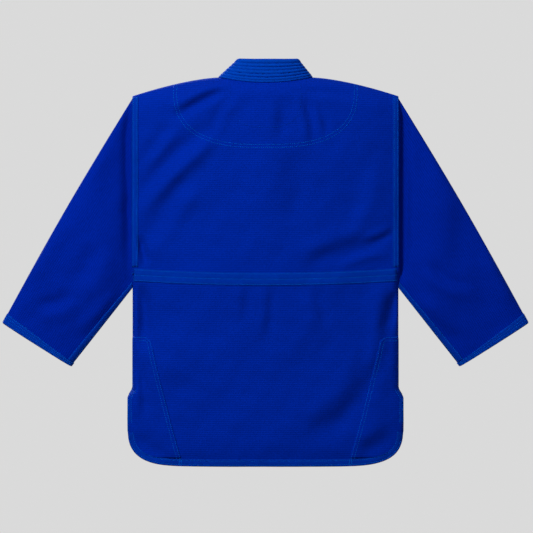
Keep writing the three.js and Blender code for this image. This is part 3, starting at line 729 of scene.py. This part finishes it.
def finish_of(kind):
    """The material of that kind, made once."""
    if not MATERIALS:
        c = colours()
        MATERIALS["cloth"] = woven("pearl_weave", tuple(c.cloth), 0.00448, 0.0052, 0.42, 0.22)
        MATERIALS["sleeve"] = woven("sleeve_weave", tuple(c.sleeve), 0.00430, 0.0050, 0.56, 0.22)
        MATERIALS["lining"] = woven("lining_weave", shade(tuple(c.cloth), 0.85), 0.0018, 0.0020, 0.5, 0.10)
        MATERIALS["tape"] = ribbed("tape_twill", tuple(c.tape), 0.25)
        MATERIALS["collar"] = ribbed("collar_twill", tuple(c.collar), 0.30)
        MATERIALS["thread"] = twisted("thread", tuple(c.thread))
        # Collar quilting thread in the collar colour cut to a quarter. Its stitch rows lie at the groove bottoms,
        # so this dark thread also paints the shade in the collar's grooves.
        MATERIALS["thread_with_groove_shade"] = twisted("collar_thread_with_groove_shade", shade(tuple(c.collar), 0.25))
    return MATERIALS[kind]


# ---- How pieces are placed: tied to the back body, or baked where they stand
def ride_back(thing):
    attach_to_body(thing, "back")


def ride_tail(thing):
    """Cloth that runs from the back onto the lifting tail. It is baked in place and not tied to the tail."""
    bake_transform(thing)


def ride_front():
    """Cloth that runs over a front's fold line, from the shoulder side to the opening side. The step it gives
    bakes the piece in place. Nothing lets it fold.
    """

    def attach(thing):
        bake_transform(thing)

    return attach


def ride_sleeve():
    """Cloth that runs from the armhole onto the swinging sleeve. The step it gives bakes the piece in place and
    ties it to no sleeve.
    """

    def attach(thing):
        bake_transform(thing)

    return attach


def settle(thing, slot, attach, *nodes):
    """Runs attach on a finished piece and hides the plain solids it stands for. slot is not used."""
    attach(thing)
    if nodes:
        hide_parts(*nodes)
    return thing


# ---- Operators: one for each group of pieces
class JACKET_OT_stage(bpy.types.Operator):
    """Adds the pale floor, surround, soft lights and camera"""

    bl_idname = "jacket.stage"
    bl_label = "Stage"

    def execute(self, context):
        pale = Shader("surround")
        grain = pale.noise(pale.node("ShaderNodeTexCoord").outputs["Object"], 0.6)
        tone = pale.blend_colours(tuple(colours().surround), shade(tuple(colours().surround), 1.002), grain)
        glow = pale.node("ShaderNodeEmission", Color=tone, Strength=1.0)
        out = pale.node("ShaderNodeOutputMaterial")
        pale.tree.links.new(glow.outputs[0], out.inputs[0])
        deselect()
        bpy.ops.mesh.primitive_cylinder_add(vertices=96, radius=8.0, depth=0.02, location=(0, 0, HEM - 0.16))
        floor = context.object
        deselect()
        bpy.ops.mesh.primitive_uv_sphere_add(segments=96, ring_count=48, radius=8.2, location=(0, 0, HEM))
        dome = context.object
        bpy.ops.object.mode_set(mode="EDIT")
        bpy.ops.mesh.select_all(action="SELECT")
        bpy.ops.mesh.flip_normals()
        bpy.ops.object.mode_set(mode="OBJECT")
        for thing, name in ((floor, "floor"), (dome, "surround")):
            thing.name = name
            thing.data.materials.append(pale.material)
            thing.visible_diffuse = thing.visible_glossy = thing.visible_shadow = False
        lights = {
            "key": ((-1.7, -2.9, 1.7), 0.8, 125.0),
            "fill": ((3.4, -5.2, 0.6), 3.0, 40.0),
            "front_key": ((-1.7, 2.9, 1.7), 0.8, 118.0),
            "front_fill": ((3.4, 5.2, 0.6), 3.0, 50.0),
            "top": ((0.0, 0.2, 4.0), 1.8, 14.0),
        }
        aim = Vector((0, 0, HEM / 2))
        for name, (place, width, power) in lights.items():
            lamp = bpy.data.lights.new(name, "AREA")
            lamp.shape, lamp.size, lamp.energy = "DISK", width, power
            thing = bpy.data.objects.new(name, lamp)
            thing.location = place
            thing.rotation_mode = "QUATERNION"
            thing.rotation_quaternion = (Vector(place) - aim).to_track_quat("Z", "Y")
            context.scene.collection.objects.link(thing)
        world = bpy.data.worlds.new("pale")
        world.use_nodes = True
        world.node_tree.nodes["Background"].inputs[0].default_value = (*colours().ambient, 1)
        context.scene.world = world
        distance, across = 3.6, 1.110
        camera = bpy.data.cameras.new("camera")
        camera.lens = camera.sensor_width / 2 / (across / 2 / distance)
        camera.clip_end = 100
        eye = bpy.data.objects.new("camera", camera)
        eye.location = (0.0021, -distance, -0.3937)
        eye.rotation_euler = (math.pi / 2, 0, 0)
        context.scene.collection.objects.link(eye)
        context.scene.camera = eye
        context.scene.view_settings.view_transform = "Standard"
        return {"FINISHED"}


class JACKET_OT_back(bpy.types.Operator):
    """Adds the upper back and the back skirt with its tail"""

    bl_idname = "jacket.back"
    bl_label = "Back panels"

    def execute(self, context):
        side = lambda sign: lambda z: sign * (half_width(z) - EDGE_INSET)
        upper = panel("back_upper_cloth", BACK, 2 * HALF, side(-1), side(1),
                      lambda x: waist_height(x) + SEAM_GAP, neckline_height, finish_of("cloth"))
        settle(upper, "cloth", ride_back, "back_upper")
        lower = panel("back_skirt_cloth", BACK, 2 * HALF, side(-1), side(1),
                      hem_height, lambda x: waist_height(x) - SEAM_GAP, finish_of("cloth"))
        settle(lower, "cloth", ride_tail, "back_skirt", "back_tail")
        return {"FINISHED"}


class JACKET_OT_linings(bpy.types.Operator):
    """Adds the yoke lining and neck patch inside, and their stitch rows outside"""

    bl_idname = "jacket.linings"
    bl_label = "Linings"

    def lining(self, name, half, side, depth, start, lift):
        u, v = spread(70)[:, None], np.linspace(0, 1, 36)[None, :] ** 0.8
        x = mix(-half, half, u) + 0 * v
        z = mix(u_height(x, half, side, depth), neckline_height(x) - start, v)
        points = BACK.point(x, z, lift)
        flat = np.stack([x, z], axis=-1)
        return sheet_piece(name, points, flat, finish_of("lining"), False, 0.001)

    def outline(self, half, side, depth, top):
        bend = np.linspace(-1, 1, 160)
        x = half * np.sin(bend * math.pi / 2)
        curve = np.stack([x, u_height(x, half, side, depth)], axis=1)
        rise_left = np.array([[-half, top], [-half, side + 0.001]])
        return np.concatenate([rise_left, curve[1:-1], rise_left[::-1] * (-1, 1)])

    def execute(self, context):
        yoke = self.lining("yoke_lining_cloth", 0.186, -0.040, YOKE_DEPTH, 0.008, -0.0040)
        settle(yoke, "lining", ride_back, "yoke_lining")
        patch = self.lining("neck_patch_cloth", *NECK_PATCH, 0.020, -0.0068)
        settle(patch, "lining", ride_back, "neck_patch")
        lines = []
        for inset in (0.0, 0.0062):
            edge = self.outline(0.190 - inset, -0.024, YOKE_DEPTH + inset, shoulder_height(0.19) - 0.001)
            lines += rows_on(BACK.point, edge, 0.0, (0.5,), CLEAR)
        edge = self.outline(*NECK_PATCH, -0.016)
        faint = rows_on(BACK.point, edge, 0.0, (0.5,), 0.0001)
        rows = stitches("yoke_stitching", lines, finish_of("thread"))
        settle(rows, "tape", ride_back)
        small = stitches("neck_patch_stitching", faint, finish_of("tape"))
        settle(small, "tape", ride_back)
        return {"FINISHED"}


class JACKET_OT_fronts(bpy.types.Operator):
    """Adds both fronts, the left lying over the right"""

    bl_idname = "jacket.fronts"
    bl_label = "Front panels"

    def execute(self, context):
        for side, sign in SIDES.items():
            face, attach = FRONTS[side], ride_front()
            inner = lambda z: sign * (lapel_seam(z) - 0.004)
            outer = lambda z: sign * (half_width(z) - EDGE_INSET)
            left, right = (inner, outer) if sign > 0 else (outer, inner)
            chest = panel(side + "_chest_cloth", face, HALF, left, right,
                          lambda x: waist_height(x) + SEAM_GAP, shoulder_height, finish_of("cloth"))
            settle(chest, "cloth", attach, side + "_front_shoulder", side + "_front_chest")
            skirt = panel(side + "_skirt_cloth", face, HALF + 0.08, left, right,
                          hem_height, lambda x: waist_height(x) - SEAM_GAP, finish_of("cloth"))
            settle(skirt, "cloth", attach, side + "_front_side", side + "_front_skirt")
        return {"FINISHED"}


def waist_line(start, end):
    x = np.linspace(start, end, 90)
    return np.stack([x, waist_height(x)], axis=1)


def hem_line(start, end, inset):
    """Along the hem, shifted in from the edge by inset."""
    turn = np.linspace(math.asin(start / HEM_HALF), math.asin(end / HEM_HALF), 220)
    x = HEM_HALF * np.sin(turn)
    edge, _ = resample(np.stack([x, hem_height(x)], axis=1), LINE_STEP)
    return edge + sideways(edge) * inset


def trim(piece, face, line, width, rows, attach, *nodes):
    """A stitched band on a face: the band, and its stitch rows as one piece."""
    strip = band(piece, face.point, line, width, rows, finish_of("tape"), flip=face.facing > 0)
    settle(strip, "tape", attach, *nodes)
    made = rows_on(face.point, line, width, rows, sizes().tape)
    settle(stitches(piece + "_stitching", made, finish_of("thread")), "tape", attach)


def seam_rows(piece, face, lines, attach, lift):
    """Stitch rows straight on the cloth."""
    found = []
    for line in lines:
        found += rows_on(face.point, line, 0.0, (0.5,), lift)
    settle(stitches(piece, found, finish_of("thread")), "tape", attach)


class JACKET_OT_waist_bands(bpy.types.Operator):
    """Adds the waist band over the seam between the upper cloth and the skirt"""

    bl_idname = "jacket.waist_bands"
    bl_label = "Waist bands"

    def execute(self, context):
        rows = (0.10, 0.50, 0.90)
        end = HALF - 0.0045
        width = sizes().waist_band
        trim("waist_band_back", BACK, waist_line(-end, end), width, rows, ride_back, "back_waist_band")
        for side, sign in SIDES.items():
            inner = sign * (lapel_seam(WAIST) - 0.002)
            line = waist_line(*sorted((inner, sign * end)))
            trim(side + "_waist_band", FRONTS[side], line, width, rows, ride_front(),
                 side + "_waist_band_front", side + "_waist_band_side")
        return {"FINISHED"}


class JACKET_OT_hem_bands(bpy.types.Operator):
    """Adds the hem bands and the bands along the side vents"""

    bl_idname = "jacket.hem_bands"
    bl_label = "Hem and vent bands"

    def vent(self, piece, face, sign, attach, *nodes):
        width = sizes().vent_band
        z = np.linspace(VENT - 0.001, HEM + 0.0885, 40)
        line = np.stack([sign * (half_width(z) - 0.0012 - width / 2), z], axis=1)
        trim(piece, face, line, width, (0.25, 0.85), attach, *nodes)

    def execute(self, context):
        width = sizes().hem_band
        rows = (0.22, 0.80)
        end = HEM_HALF - 0.0002
        middle = width / 2 + 0.0004
        trim("hem_band_back", BACK, hem_line(-end, end, middle), width, rows, ride_tail, "back_hem_band")
        for side, sign in SIDES.items():
            attach = ride_front()
            inner = sign * (lapel_seam(HEM + width) + 0.003)
            line = hem_line(*sorted((inner, sign * end)), middle)
            trim(side + "_hem_band", FRONTS[side], line, width, rows, attach, side + "_hem_band_front")
            self.vent(side + "_vent_band", BACK, sign, ride_tail, side + "_vent_band_back")
            self.vent(side + "_vent_band_fore", FRONTS[side], sign, attach, side + "_vent_band_front")
        return {"FINISHED"}


class JACKET_OT_patches(bpy.types.Operator):
    """Adds the side patches over the vents, with their stitch rows and bartacks"""

    bl_idname = "jacket.patches"
    bl_label = "Side patches"

    def patch(self, piece, face, sign, attach, nodes):
        step = sizes().step
        low = HEM + sizes().hem_band + 0.002  # foot of the patch, clear of the hem band
        u = np.linspace(0, 1, int(0.10 / step))[:, None]
        v = np.linspace(0, 1, int(0.26 / step))[None, :]
        z = mix(low, PATCH_TOP, v) + 0 * u
        inner, outer = patch_inner(z), half_width(z) - 0.0012
        x = mix(inner, outer, u)
        for _ in range(2):
            z = mix(np.maximum(low, hem_height(x) + sizes().hem_band * 0.8), PATCH_TOP, v)
            x = mix(patch_inner(z), half_width(z) - 0.0012, u)
        edge = np.minimum(x - patch_inner(z), PATCH_TOP - z)
        lift = ON_PATCH * np.sqrt(clamp(edge / 0.0016)) + CLEAR
        for row in PATCH_ROWS:
            lift = lift - 0.0005 * np.exp(-(((edge - row) / 0.0012) ** 2))
        points = face.point(sign * x, z, lift)
        flip = (face.facing > 0) != (sign < 0)
        flat = np.stack([sign * x, z], axis=-1)
        cloth = sheet_piece(piece, points, flat, finish_of("cloth"), flip, 0.0008)
        settle(cloth, "cloth", attach, *nodes)

    def outline(self, sign, inset):
        """The patch's stitch line: in from the side edge, round its corner and down to the hem."""
        z = np.linspace(PATCH_TOP - inset, HEM + 0.015, 160)
        down = np.stack([patch_inner(z) + inset, z], axis=1)
        start = np.array([[HALF - 0.004, PATCH_TOP - inset]])
        return np.concatenate([start, down]) * (sign, 1)

    def bartack(self, piece, face, sign, attach, *nodes):
        """A short block of close stitches across the foot of the patch seam."""
        wide, high, count = 0.009, 0.013, 8
        middle = float(patch_inner(np.array(HEM + 0.008))) + 0.0045
        foot = float(hem_height(np.array(middle))) + 0.0075
        found = []
        for k in range(count):
            row = foot + high * (k / (count - 1) - 0.5)
            x = np.linspace(middle - wide / 2, middle + wide / 2, 7) * sign
            found += rows_on(face.point, np.stack([x, np.full(7, row)], axis=1), 0.0, (0.5,), 0.0014)
        settle(stitches(piece, found, finish_of("thread")), "tape", attach, *nodes)

    def execute(self, context):
        for side, sign in SIDES.items():
            fore, attach = FRONTS[side], ride_front()
            behind = (side + "_patch_upper", side + "_patch_tail")
            self.patch(side + "_patch_cloth", BACK, sign, ride_tail, behind)
            self.patch(side + "_patch_fore_cloth", fore, sign, attach, (side + "_patch_front",))
            lines = [self.outline(sign, inset) for inset in PATCH_ROWS]
            seam_rows(side + "_patch_stitching", BACK, lines, ride_tail, ON_PATCH)
            seam_rows(side + "_patch_fore_stitching", fore, lines, attach, ON_PATCH)
            self.bartack(side + "_bartack_stitches", BACK, sign, ride_tail, side + "_bartack")
            self.bartack(side + "_bartack_fore_stitches", fore, sign, attach, side + "_bartack_front")
        return {"FINISHED"}


class JACKET_OT_armholes(bpy.types.Operator):
    """Adds the raised double-stitched bands round the armholes"""

    bl_idname = "jacket.armholes"
    bl_label = "Armhole bands"

    def execute(self, context):
        width = sizes().armhole_band
        for side, sign in SIDES.items():
            middle = HALF - 0.0004 - width / 2
            z = np.linspace(float(shoulder_height(np.array(middle))) - 0.0045, WAIST + 0.016, 90)
            line = np.stack([np.full(z.shape, sign * middle), z], axis=1)
            trim(side + "_armhole_band", BACK, line, width, (0.22, 0.78), ride_back, side + "_armhole_tape_back")
            trim(side + "_armhole_band_fore", FRONTS[side], line, width, (0.22, 0.78), ride_back,
                 side + "_armhole_tape_front")
        return {"FINISHED"}


# ---- Collar and lapels
def neck_band(turn, v):
    """The collar behind the neck: turn from -1 on the left to 1, v from its seam to its free edge."""
    turn, v = np.broadcast_arrays(turn, v)
    x = NECK_HALF * np.sin(turn * math.pi / 2)
    z = neckline_height(x) - 0.0035 * np.cos(turn * math.pi / 2)
    foot = np.stack([x, -body_depth(x, z), z], axis=-1)
    top_x = 0.0620 * np.sin(turn * math.pi / 2) + 0.0055
    top = np.stack([top_x, -0.022 * (1 - turn**2), 0.0365 + 0.0015 * turn**2], axis=-1)
    return mix(foot, top, v[..., None])


def lapel_middle(side, u, v):
    """Middle of a lapel: u from the shoulder down to the hem, v from seam edge to free edge."""
    sign, face = SIDES[side], FRONTS[side]
    u, v = np.broadcast_arrays(u, v)
    width, thick = sizes().collar_width, sizes().collar_thick
    z = mix(0.0, HEM, u)
    rise = LAPEL_SLANT * (1 - smooth((u - 0.8) / 0.2))  # level again over the last fifth
    x = sign * (lapel_seam(z) - v * width * LAPEL_SPREAD)
    y = face.point(x, np.minimum(z, -0.001))[..., 1] + thick / 2 - sizes().cloth
    lying = np.stack([x, y, z + v * width * rise], axis=-1)
    neck = neck_band(np.full(u.shape, float(sign)), v)
    neck[..., 1] += (thick + 0.0003 - (1 - v) * thick / 2) * 0.6
    return mix(neck, lying, smooth(u / LAPEL_SETTLE)[..., None])


GROOVES = (0.08, 0.22, 0.35, 0.50, 0.64, 0.78)


def quilted(name, middle, rows, outward, fullness, material):
    """A thick strip with ribs along it. middle(u, v) gives its middle surface, rows its places along
    and fullness(row) how far the ribs stand out there."""
    thick, width = sizes().collar_thick, sizes().collar_width
    v_out = np.unique(np.concatenate([np.linspace(0, 1, 41), *[[g - 0.02, g, g + 0.02] for g in GROOVES]]))
    v_in = np.linspace(1, 0, 15)[1:-1]
    edges = np.concatenate([[0], GROOVES, [1]])
    rib = np.searchsorted(edges, v_out, side="right").clip(1, len(edges) - 1)
    low, high = edges[rib - 1], edges[rib]
    bulge = np.sqrt(clamp(1 - ((2 * v_out - low - high) / (high - low)) ** 2)) * (high - low) ** 0.5
    rim = np.sqrt(clamp(1 - np.abs(2 * v_out - 1) ** 8))
    flat_out = rim * (thick / 2 - 0.0031)
    out = flat_out[:, None] + 0.0104 * bulge[:, None] * fullness(rows)[None, :]
    back = -thick / 2 * np.sqrt(clamp(1 - np.abs(2 * v_in - 1) ** 8)) * 0.9
    v = np.concatenate([v_out, v_in])[:, None]
    lift = np.concatenate([out, back[:, None] + 0 * rows[None, :]])
    u = rows[None, :]
    step = 0.002
    centre = middle(u + 0 * v, v + 0 * u)
    along = middle(np.clip(u + step, rows[0], rows[-1]) + 0 * v, v + 0 * u) - middle(
        np.clip(u - step, rows[0], rows[-1]) + 0 * v, v + 0 * u)
    across = middle(u + 0 * v, 0 * u + 1.0 + 0 * v) - middle(u + 0 * v, 0 * u + 0 * v)
    normal = np.cross(along, across)
    normal /= np.linalg.norm(normal, axis=-1, keepdims=True)
    normal *= np.sign((normal * outward(centre)).sum(-1, keepdims=True))
    points = centre + normal * lift[..., None]
    runs = np.linalg.norm(np.diff(centre[0], axis=0), axis=-1)
    reach = np.concatenate([[0], np.cumsum(runs)])[None, :]
    flat = np.stack(np.broadcast_arrays(reach, v * width), axis=-1)
    count = points.shape[:2]
    faces = grid_faces(*count, wrap=True)
    index = np.arange(count[0] * count[1]).reshape(count)
    faces += [index[:, 0].tolist(), index[::-1, -1].tolist()]
    thing = mesh_object(name, points, faces, flat, material)
    pick(thing)
    bpy.ops.object.mode_set(mode="EDIT")
    bpy.ops.mesh.select_all(action="SELECT")
    bpy.ops.mesh.normals_make_consistent(inside=False)
    bpy.ops.object.mode_set(mode="OBJECT")
    lines = []
    for groove in GROOVES:
        k = int(np.argmin(np.abs(v_out - groove)))
        lines.append((centre[k] + normal[k] * (flat_out[k] + 0.0001), normal[k]))
    return thing, lines


class JACKET_OT_collar(bpy.types.Operator):
    """Adds the quilted collar behind the neck and the lapels down the fronts"""

    bl_idname = "jacket.collar"
    bl_label = "Collar and lapels"

    def add(self, name, middle, rows, outward, fullness, attach, *nodes):
        thing, lines = quilted(name, middle, rows, outward, fullness, finish_of("collar"))
        settle(thing, "collar", attach, *nodes)
        # The collar stitches use the darkened thread, which paints the shade at the bottoms of the grooves as
        # well as the thread itself.
        settle(stitches(name + "_stitching", lines, finish_of("thread_with_groove_shade")), "tape", attach)

    def execute(self, context):
        away = lambda p: p * (1.0, 1.0, 0.0) + np.array([0.0, -0.010, 0.012])
        round_neck = lambda turn: 1 - 0.75 * smooth((np.abs(turn) - 0.70) / 0.28)
        self.add("collar_neck", neck_band, np.linspace(-0.995, 0.995, 90), away, round_neck, ride_back,
                 "collar_neck_cover", "collar_neck_core")
        forward = lambda p: p * (1.0, 0.0, 0.0) + np.array([0.0, 0.30, 0.05])
        down_front = lambda u: 0.25 + 0.75 * smooth(u / 0.06)
        for side in SIDES:
            strip = lambda u, v: lapel_middle(side, u, v)
            self.add(side + "_lapel", strip, np.linspace(0.0, 1.0, 200), forward, down_front, ride_front(),
                     side + "_lapel_cover", side + "_lapel_core")
        return {"FINISHED"}


# ---- Sleeves
# Folds in the plane of a sleeve held out to the right, seen from behind.
RIGHT_SLEEVE_FOLDS = {
    "armhole": ([(0.283, 0.010), (0.2855, -0.180), (0.2855, -0.330), (0.282, -0.450)], 0.0130, -0.0220, 0.0020),
    "shoulder": ([(0.300, -0.060), (0.350, -0.140), (0.380, -0.220)], 0.022, 0.0040, -0.0030),
    "elbow": ([(0.420, -0.240), (0.400, -0.330), (0.392, -0.430)], 0.030, -0.0050, 0.0030),
    "crease": ([(0.330, -0.380), (0.375, -0.420), (0.440, -0.440)], 0.012, -0.0040, 0.0040),
    "outer": ([(0.450, -0.340), (0.490, -0.430), (0.510, -0.500)], 0.024, 0.0035, -0.0025),
    "under": ([(0.310, -0.450), (0.370, -0.500), (0.430, -0.540)], 0.016, 0.0030, -0.0028),
}
LEFT_SLEEVE_FOLDS = {
    "armhole": ([(0.284, 0.010), (0.286, -0.200), (0.284, -0.450)], 0.011, -0.0110, 0.0020),
    "shoulder": ([(0.305, -0.080), (0.360, -0.190), (0.375, -0.300)], 0.026, 0.0040, -0.0030),
    "elbow": ([(0.355, -0.340), (0.370, -0.400), (0.420, -0.440)], 0.020, -0.0050, 0.0040),
    "crease": ([(0.395, -0.440), (0.430, -0.470), (0.480, -0.470)], 0.014, -0.0045, 0.0035),
    "outer": ([(0.410, -0.270), (0.460, -0.370), (0.490, -0.440)], 0.026, 0.0035, -0.0020),
    "under": ([(0.300, -0.430), (0.350, -0.490), (0.400, -0.540)], 0.014, 0.0030, -0.0025),
}
FORE_SLEEVE_FOLDS = {
    "armhole": ([(0.289, -0.050), (0.294, -0.220), (0.289, -0.400)], 0.012, -0.0060, 0.0030),
    "elbow": ([(0.310, -0.400), (0.370, -0.400), (0.440, -0.370)], 0.020, -0.0060, 0.0050),
    "long": ([(0.330, -0.120), (0.390, -0.260), (0.440, -0.420)], 0.030, 0.0045, -0.0030),
}


class Sleeve:
    """A sleeve lying flat at the side: turn from 0 on its upper edge once round, along to the cuff."""

    def __init__(self, side):
        self.side, self.sign = side, SIDES[side]
        self.folds = RIGHT_SLEEVE_FOLDS if side == "right" else LEFT_SLEEVE_FOLDS
        self.length = math.hypot(CUFF_OUTER[0] - HALF, CUFF_OUTER[1] + SHOULDER_DROP)
        self.root = HALF - 0.0025

    def edges(self, along):
        bow = 0.004 * np.sin(along * math.pi)
        top = (mix(self.root, CUFF_OUTER[0], along) + bow,
               mix(-SHOULDER_DROP - 0.0006, CUFF_OUTER[1], along) + bow * 0.6)
        low = (mix(self.root, CUFF_INNER[0], along), mix(UNDERARM + 0.0006, CUFF_INNER[1], along))
        return top, low

    def point(self, turn, along, lift=0.0):
        turn, along = np.broadcast_arrays(np.asarray(turn, float), np.asarray(along, float))
        step = 0.0015
        around = self.wall(turn + step, along) - self.wall(turn - step, along)
        down = self.wall(turn, np.minimum(1, along + step)) - self.wall(turn, np.maximum(0, along - step))
        normal = np.cross(around, down) * self.sign
        normal /= np.linalg.norm(normal, axis=-1, keepdims=True)
        return self.wall(turn, along) + normal * np.asarray(lift)[..., None]

    def wall(self, turn, along):
        angle = turn * 2 * math.pi
        top, low = self.edges(along)
        mid = (1 + np.cos(angle)) / 2
        root = mix(EDGE_DEPTH - 0.0018, SLEEVE_MID_DEPTH, smooth(along * 2))
        depth = mix(root, CUFF_DEPTH, smooth(along * 2 - 1))
        swing = np.sin(angle)
        behind = swing > 0
        x, z = mix(low[0], top[0], mid), mix(low[1], top[1], mid)
        flat = clamp(np.abs(swing) * 1.6)
        rows = np.where(behind, fold_height(self.folds, x, z), fold_height(FORE_SLEEVE_FOLDS, x, z))
        rows = rows + ripple(x, z * np.where(behind, 1, -1), 51 + self.sign)
        rows = rows * smooth(flat) * smooth(along / 0.03) * (1 - 0.7 * smooth((along - 0.93) / 0.05))
        least = np.where(behind, -0.0010, 0.0044) * smooth(flat)  # keeps the two sides apart
        out = np.maximum(depth * np.abs(swing) ** 0.55 + rows, least)
        y = np.where(behind, -out, out)
        return np.stack([self.sign * x, y, z], axis=-1)

    def behind_point(self, run, inset, lift):
        """Near the lower edge behind: run is the share along, inset the distance in from that edge."""
        return self.beside(run, inset, lift, 1)

    def fore_point(self, run, inset, lift):
        return self.beside(run, inset, lift, -1)

    def beside(self, run, inset, lift, way):
        along = run / self.length
        top, low = self.edges(along)
        wide = np.hypot(top[0] - low[0], top[1] - low[1])
        reach = np.arccos(np.clip(2 * inset / wide - 1, -1, 1)) / (2 * math.pi)
        return self.point(reach if way > 0 else 1 - reach, along, lift)

    def cuff_point(self, run, down, lift):
        """Near the cuff: run goes once round over CUFF_ROUND, down is measured along towards the cuff."""
        return self.point(run / CUFF_ROUND, 1 + down / self.length, lift)


class JACKET_OT_sleeves(bpy.types.Operator):
    """Adds the sleeves with their underarm seams and cuff bands"""

    bl_idname = "jacket.sleeves"
    bl_label = "Sleeves"

    def execute(self, context):
        for side, sign in SIDES.items():
            sleeve, attach = Sleeve(side), ride_sleeve()
            rows, columns = 150, 124
            turn = (np.arange(rows) / rows)[:, None]
            along = np.linspace(0, 1, columns)[None, :]
            points = sleeve.point(turn, along)
            lean = math.atan2(CUFF_OUTER[0] + CUFF_INNER[0] - 2 * HALF,
                              UNDERARM - SHOULDER_DROP - CUFF_OUTER[1] - CUFF_INNER[1])
            across = np.abs(points[..., 0]) * math.cos(lean) + points[..., 2] * math.sin(lean)
            flat = np.stack(np.broadcast_arrays(along * sleeve.length, across), axis=-1)
            faces = grid_faces(rows, columns, flip=sign < 0, wrap=True)
            tube = mesh_object(side + "_sleeve_cloth", points, faces, flat, finish_of("sleeve"))
            tube["area"] = surface_area(np.concatenate([points, points[:1]]))
            thicken(tube, sizes().cloth)
            settle(tube, "cloth", attach, side + "_sleeve")
            width = sizes().cuff_band
            lap = np.linspace(0.002, CUFF_ROUND - 0.002, 200)
            line = np.stack([lap, np.full(lap.shape, -width / 2 - 0.0008)], axis=1)
            cuff_rows = (0.10, 0.37, 0.64, 0.90)
            flip = sign < 0
            strip = band(side + "_cuff", sleeve.cuff_point, line, width, cuff_rows, finish_of("tape"),
                         flip=flip)
            settle(strip, "tape", attach, side + "_cuff_band")
            found = rows_on(sleeve.cuff_point, line, width, cuff_rows, sizes().tape)
            run = np.linspace(0.010, sleeve.length - width - 0.002, 160)
            for place in (sleeve.behind_point, sleeve.fore_point):
                line = np.stack([run, np.full(run.shape, 0.0075)], axis=1)
                found += rows_on(place, line, 0.009, (0.0, 1.0), 0.0010)
            settle(stitches(side + "_sleeve_stitching", found, finish_of("thread")), "tape", attach)
            line = np.stack([run, np.full(run.shape, 0.0075)], axis=1)
            seam = band(side + "_underarm_band", sleeve.behind_point, line, 0.012, (0.12, 0.88),
                        finish_of("tape"), flip=flip)
            settle(seam, "tape", attach, side + "_underarm_tape")
        return {"FINISHED"}


# ---- Panel and start
class JACKET_PT_panel(bpy.types.Panel):
    """Lists the steps that make the jacket"""

    bl_idname = "JACKET_PT_panel"
    bl_label = "Martial Arts Jacket"
    bl_space_type = "VIEW_3D"
    bl_region_type = "UI"
    bl_category = "Jacket"

    def draw(self, context):
        for step in STEPS:
            self.layout.operator(step.bl_idname)
        for group in (context.scene.jacket_sizes, context.scene.jacket_colours):
            for name in group.__annotations__:
                self.layout.prop(group, name)


STEPS = (JACKET_OT_back, JACKET_OT_linings, JACKET_OT_fronts, JACKET_OT_waist_bands, JACKET_OT_hem_bands,
         JACKET_OT_patches, JACKET_OT_armholes, JACKET_OT_collar, JACKET_OT_sleeves, JACKET_OT_stage)
CLASSES = (JacketSizes, JacketColours, *STEPS, JACKET_PT_panel)


def register():
    for kind in CLASSES:
        bpy.utils.register_class(kind)
    bpy.types.Scene.jacket_sizes = bpy.props.PointerProperty(type=JacketSizes)
    bpy.types.Scene.jacket_colours = bpy.props.PointerProperty(type=JacketColours)


def unregister():
    del bpy.types.Scene.jacket_sizes
    del bpy.types.Scene.jacket_colours
    for kind in reversed(CLASSES):
        bpy.utils.unregister_class(kind)


def main():
    register()
    for step in (bpy.ops.jacket.back, bpy.ops.jacket.linings, bpy.ops.jacket.fronts, bpy.ops.jacket.waist_bands,
                 bpy.ops.jacket.hem_bands, bpy.ops.jacket.patches, bpy.ops.jacket.armholes, bpy.ops.jacket.collar,
                 bpy.ops.jacket.sleeves, bpy.ops.jacket.stage):
        step()


if __name__ == "__main__":
    main()
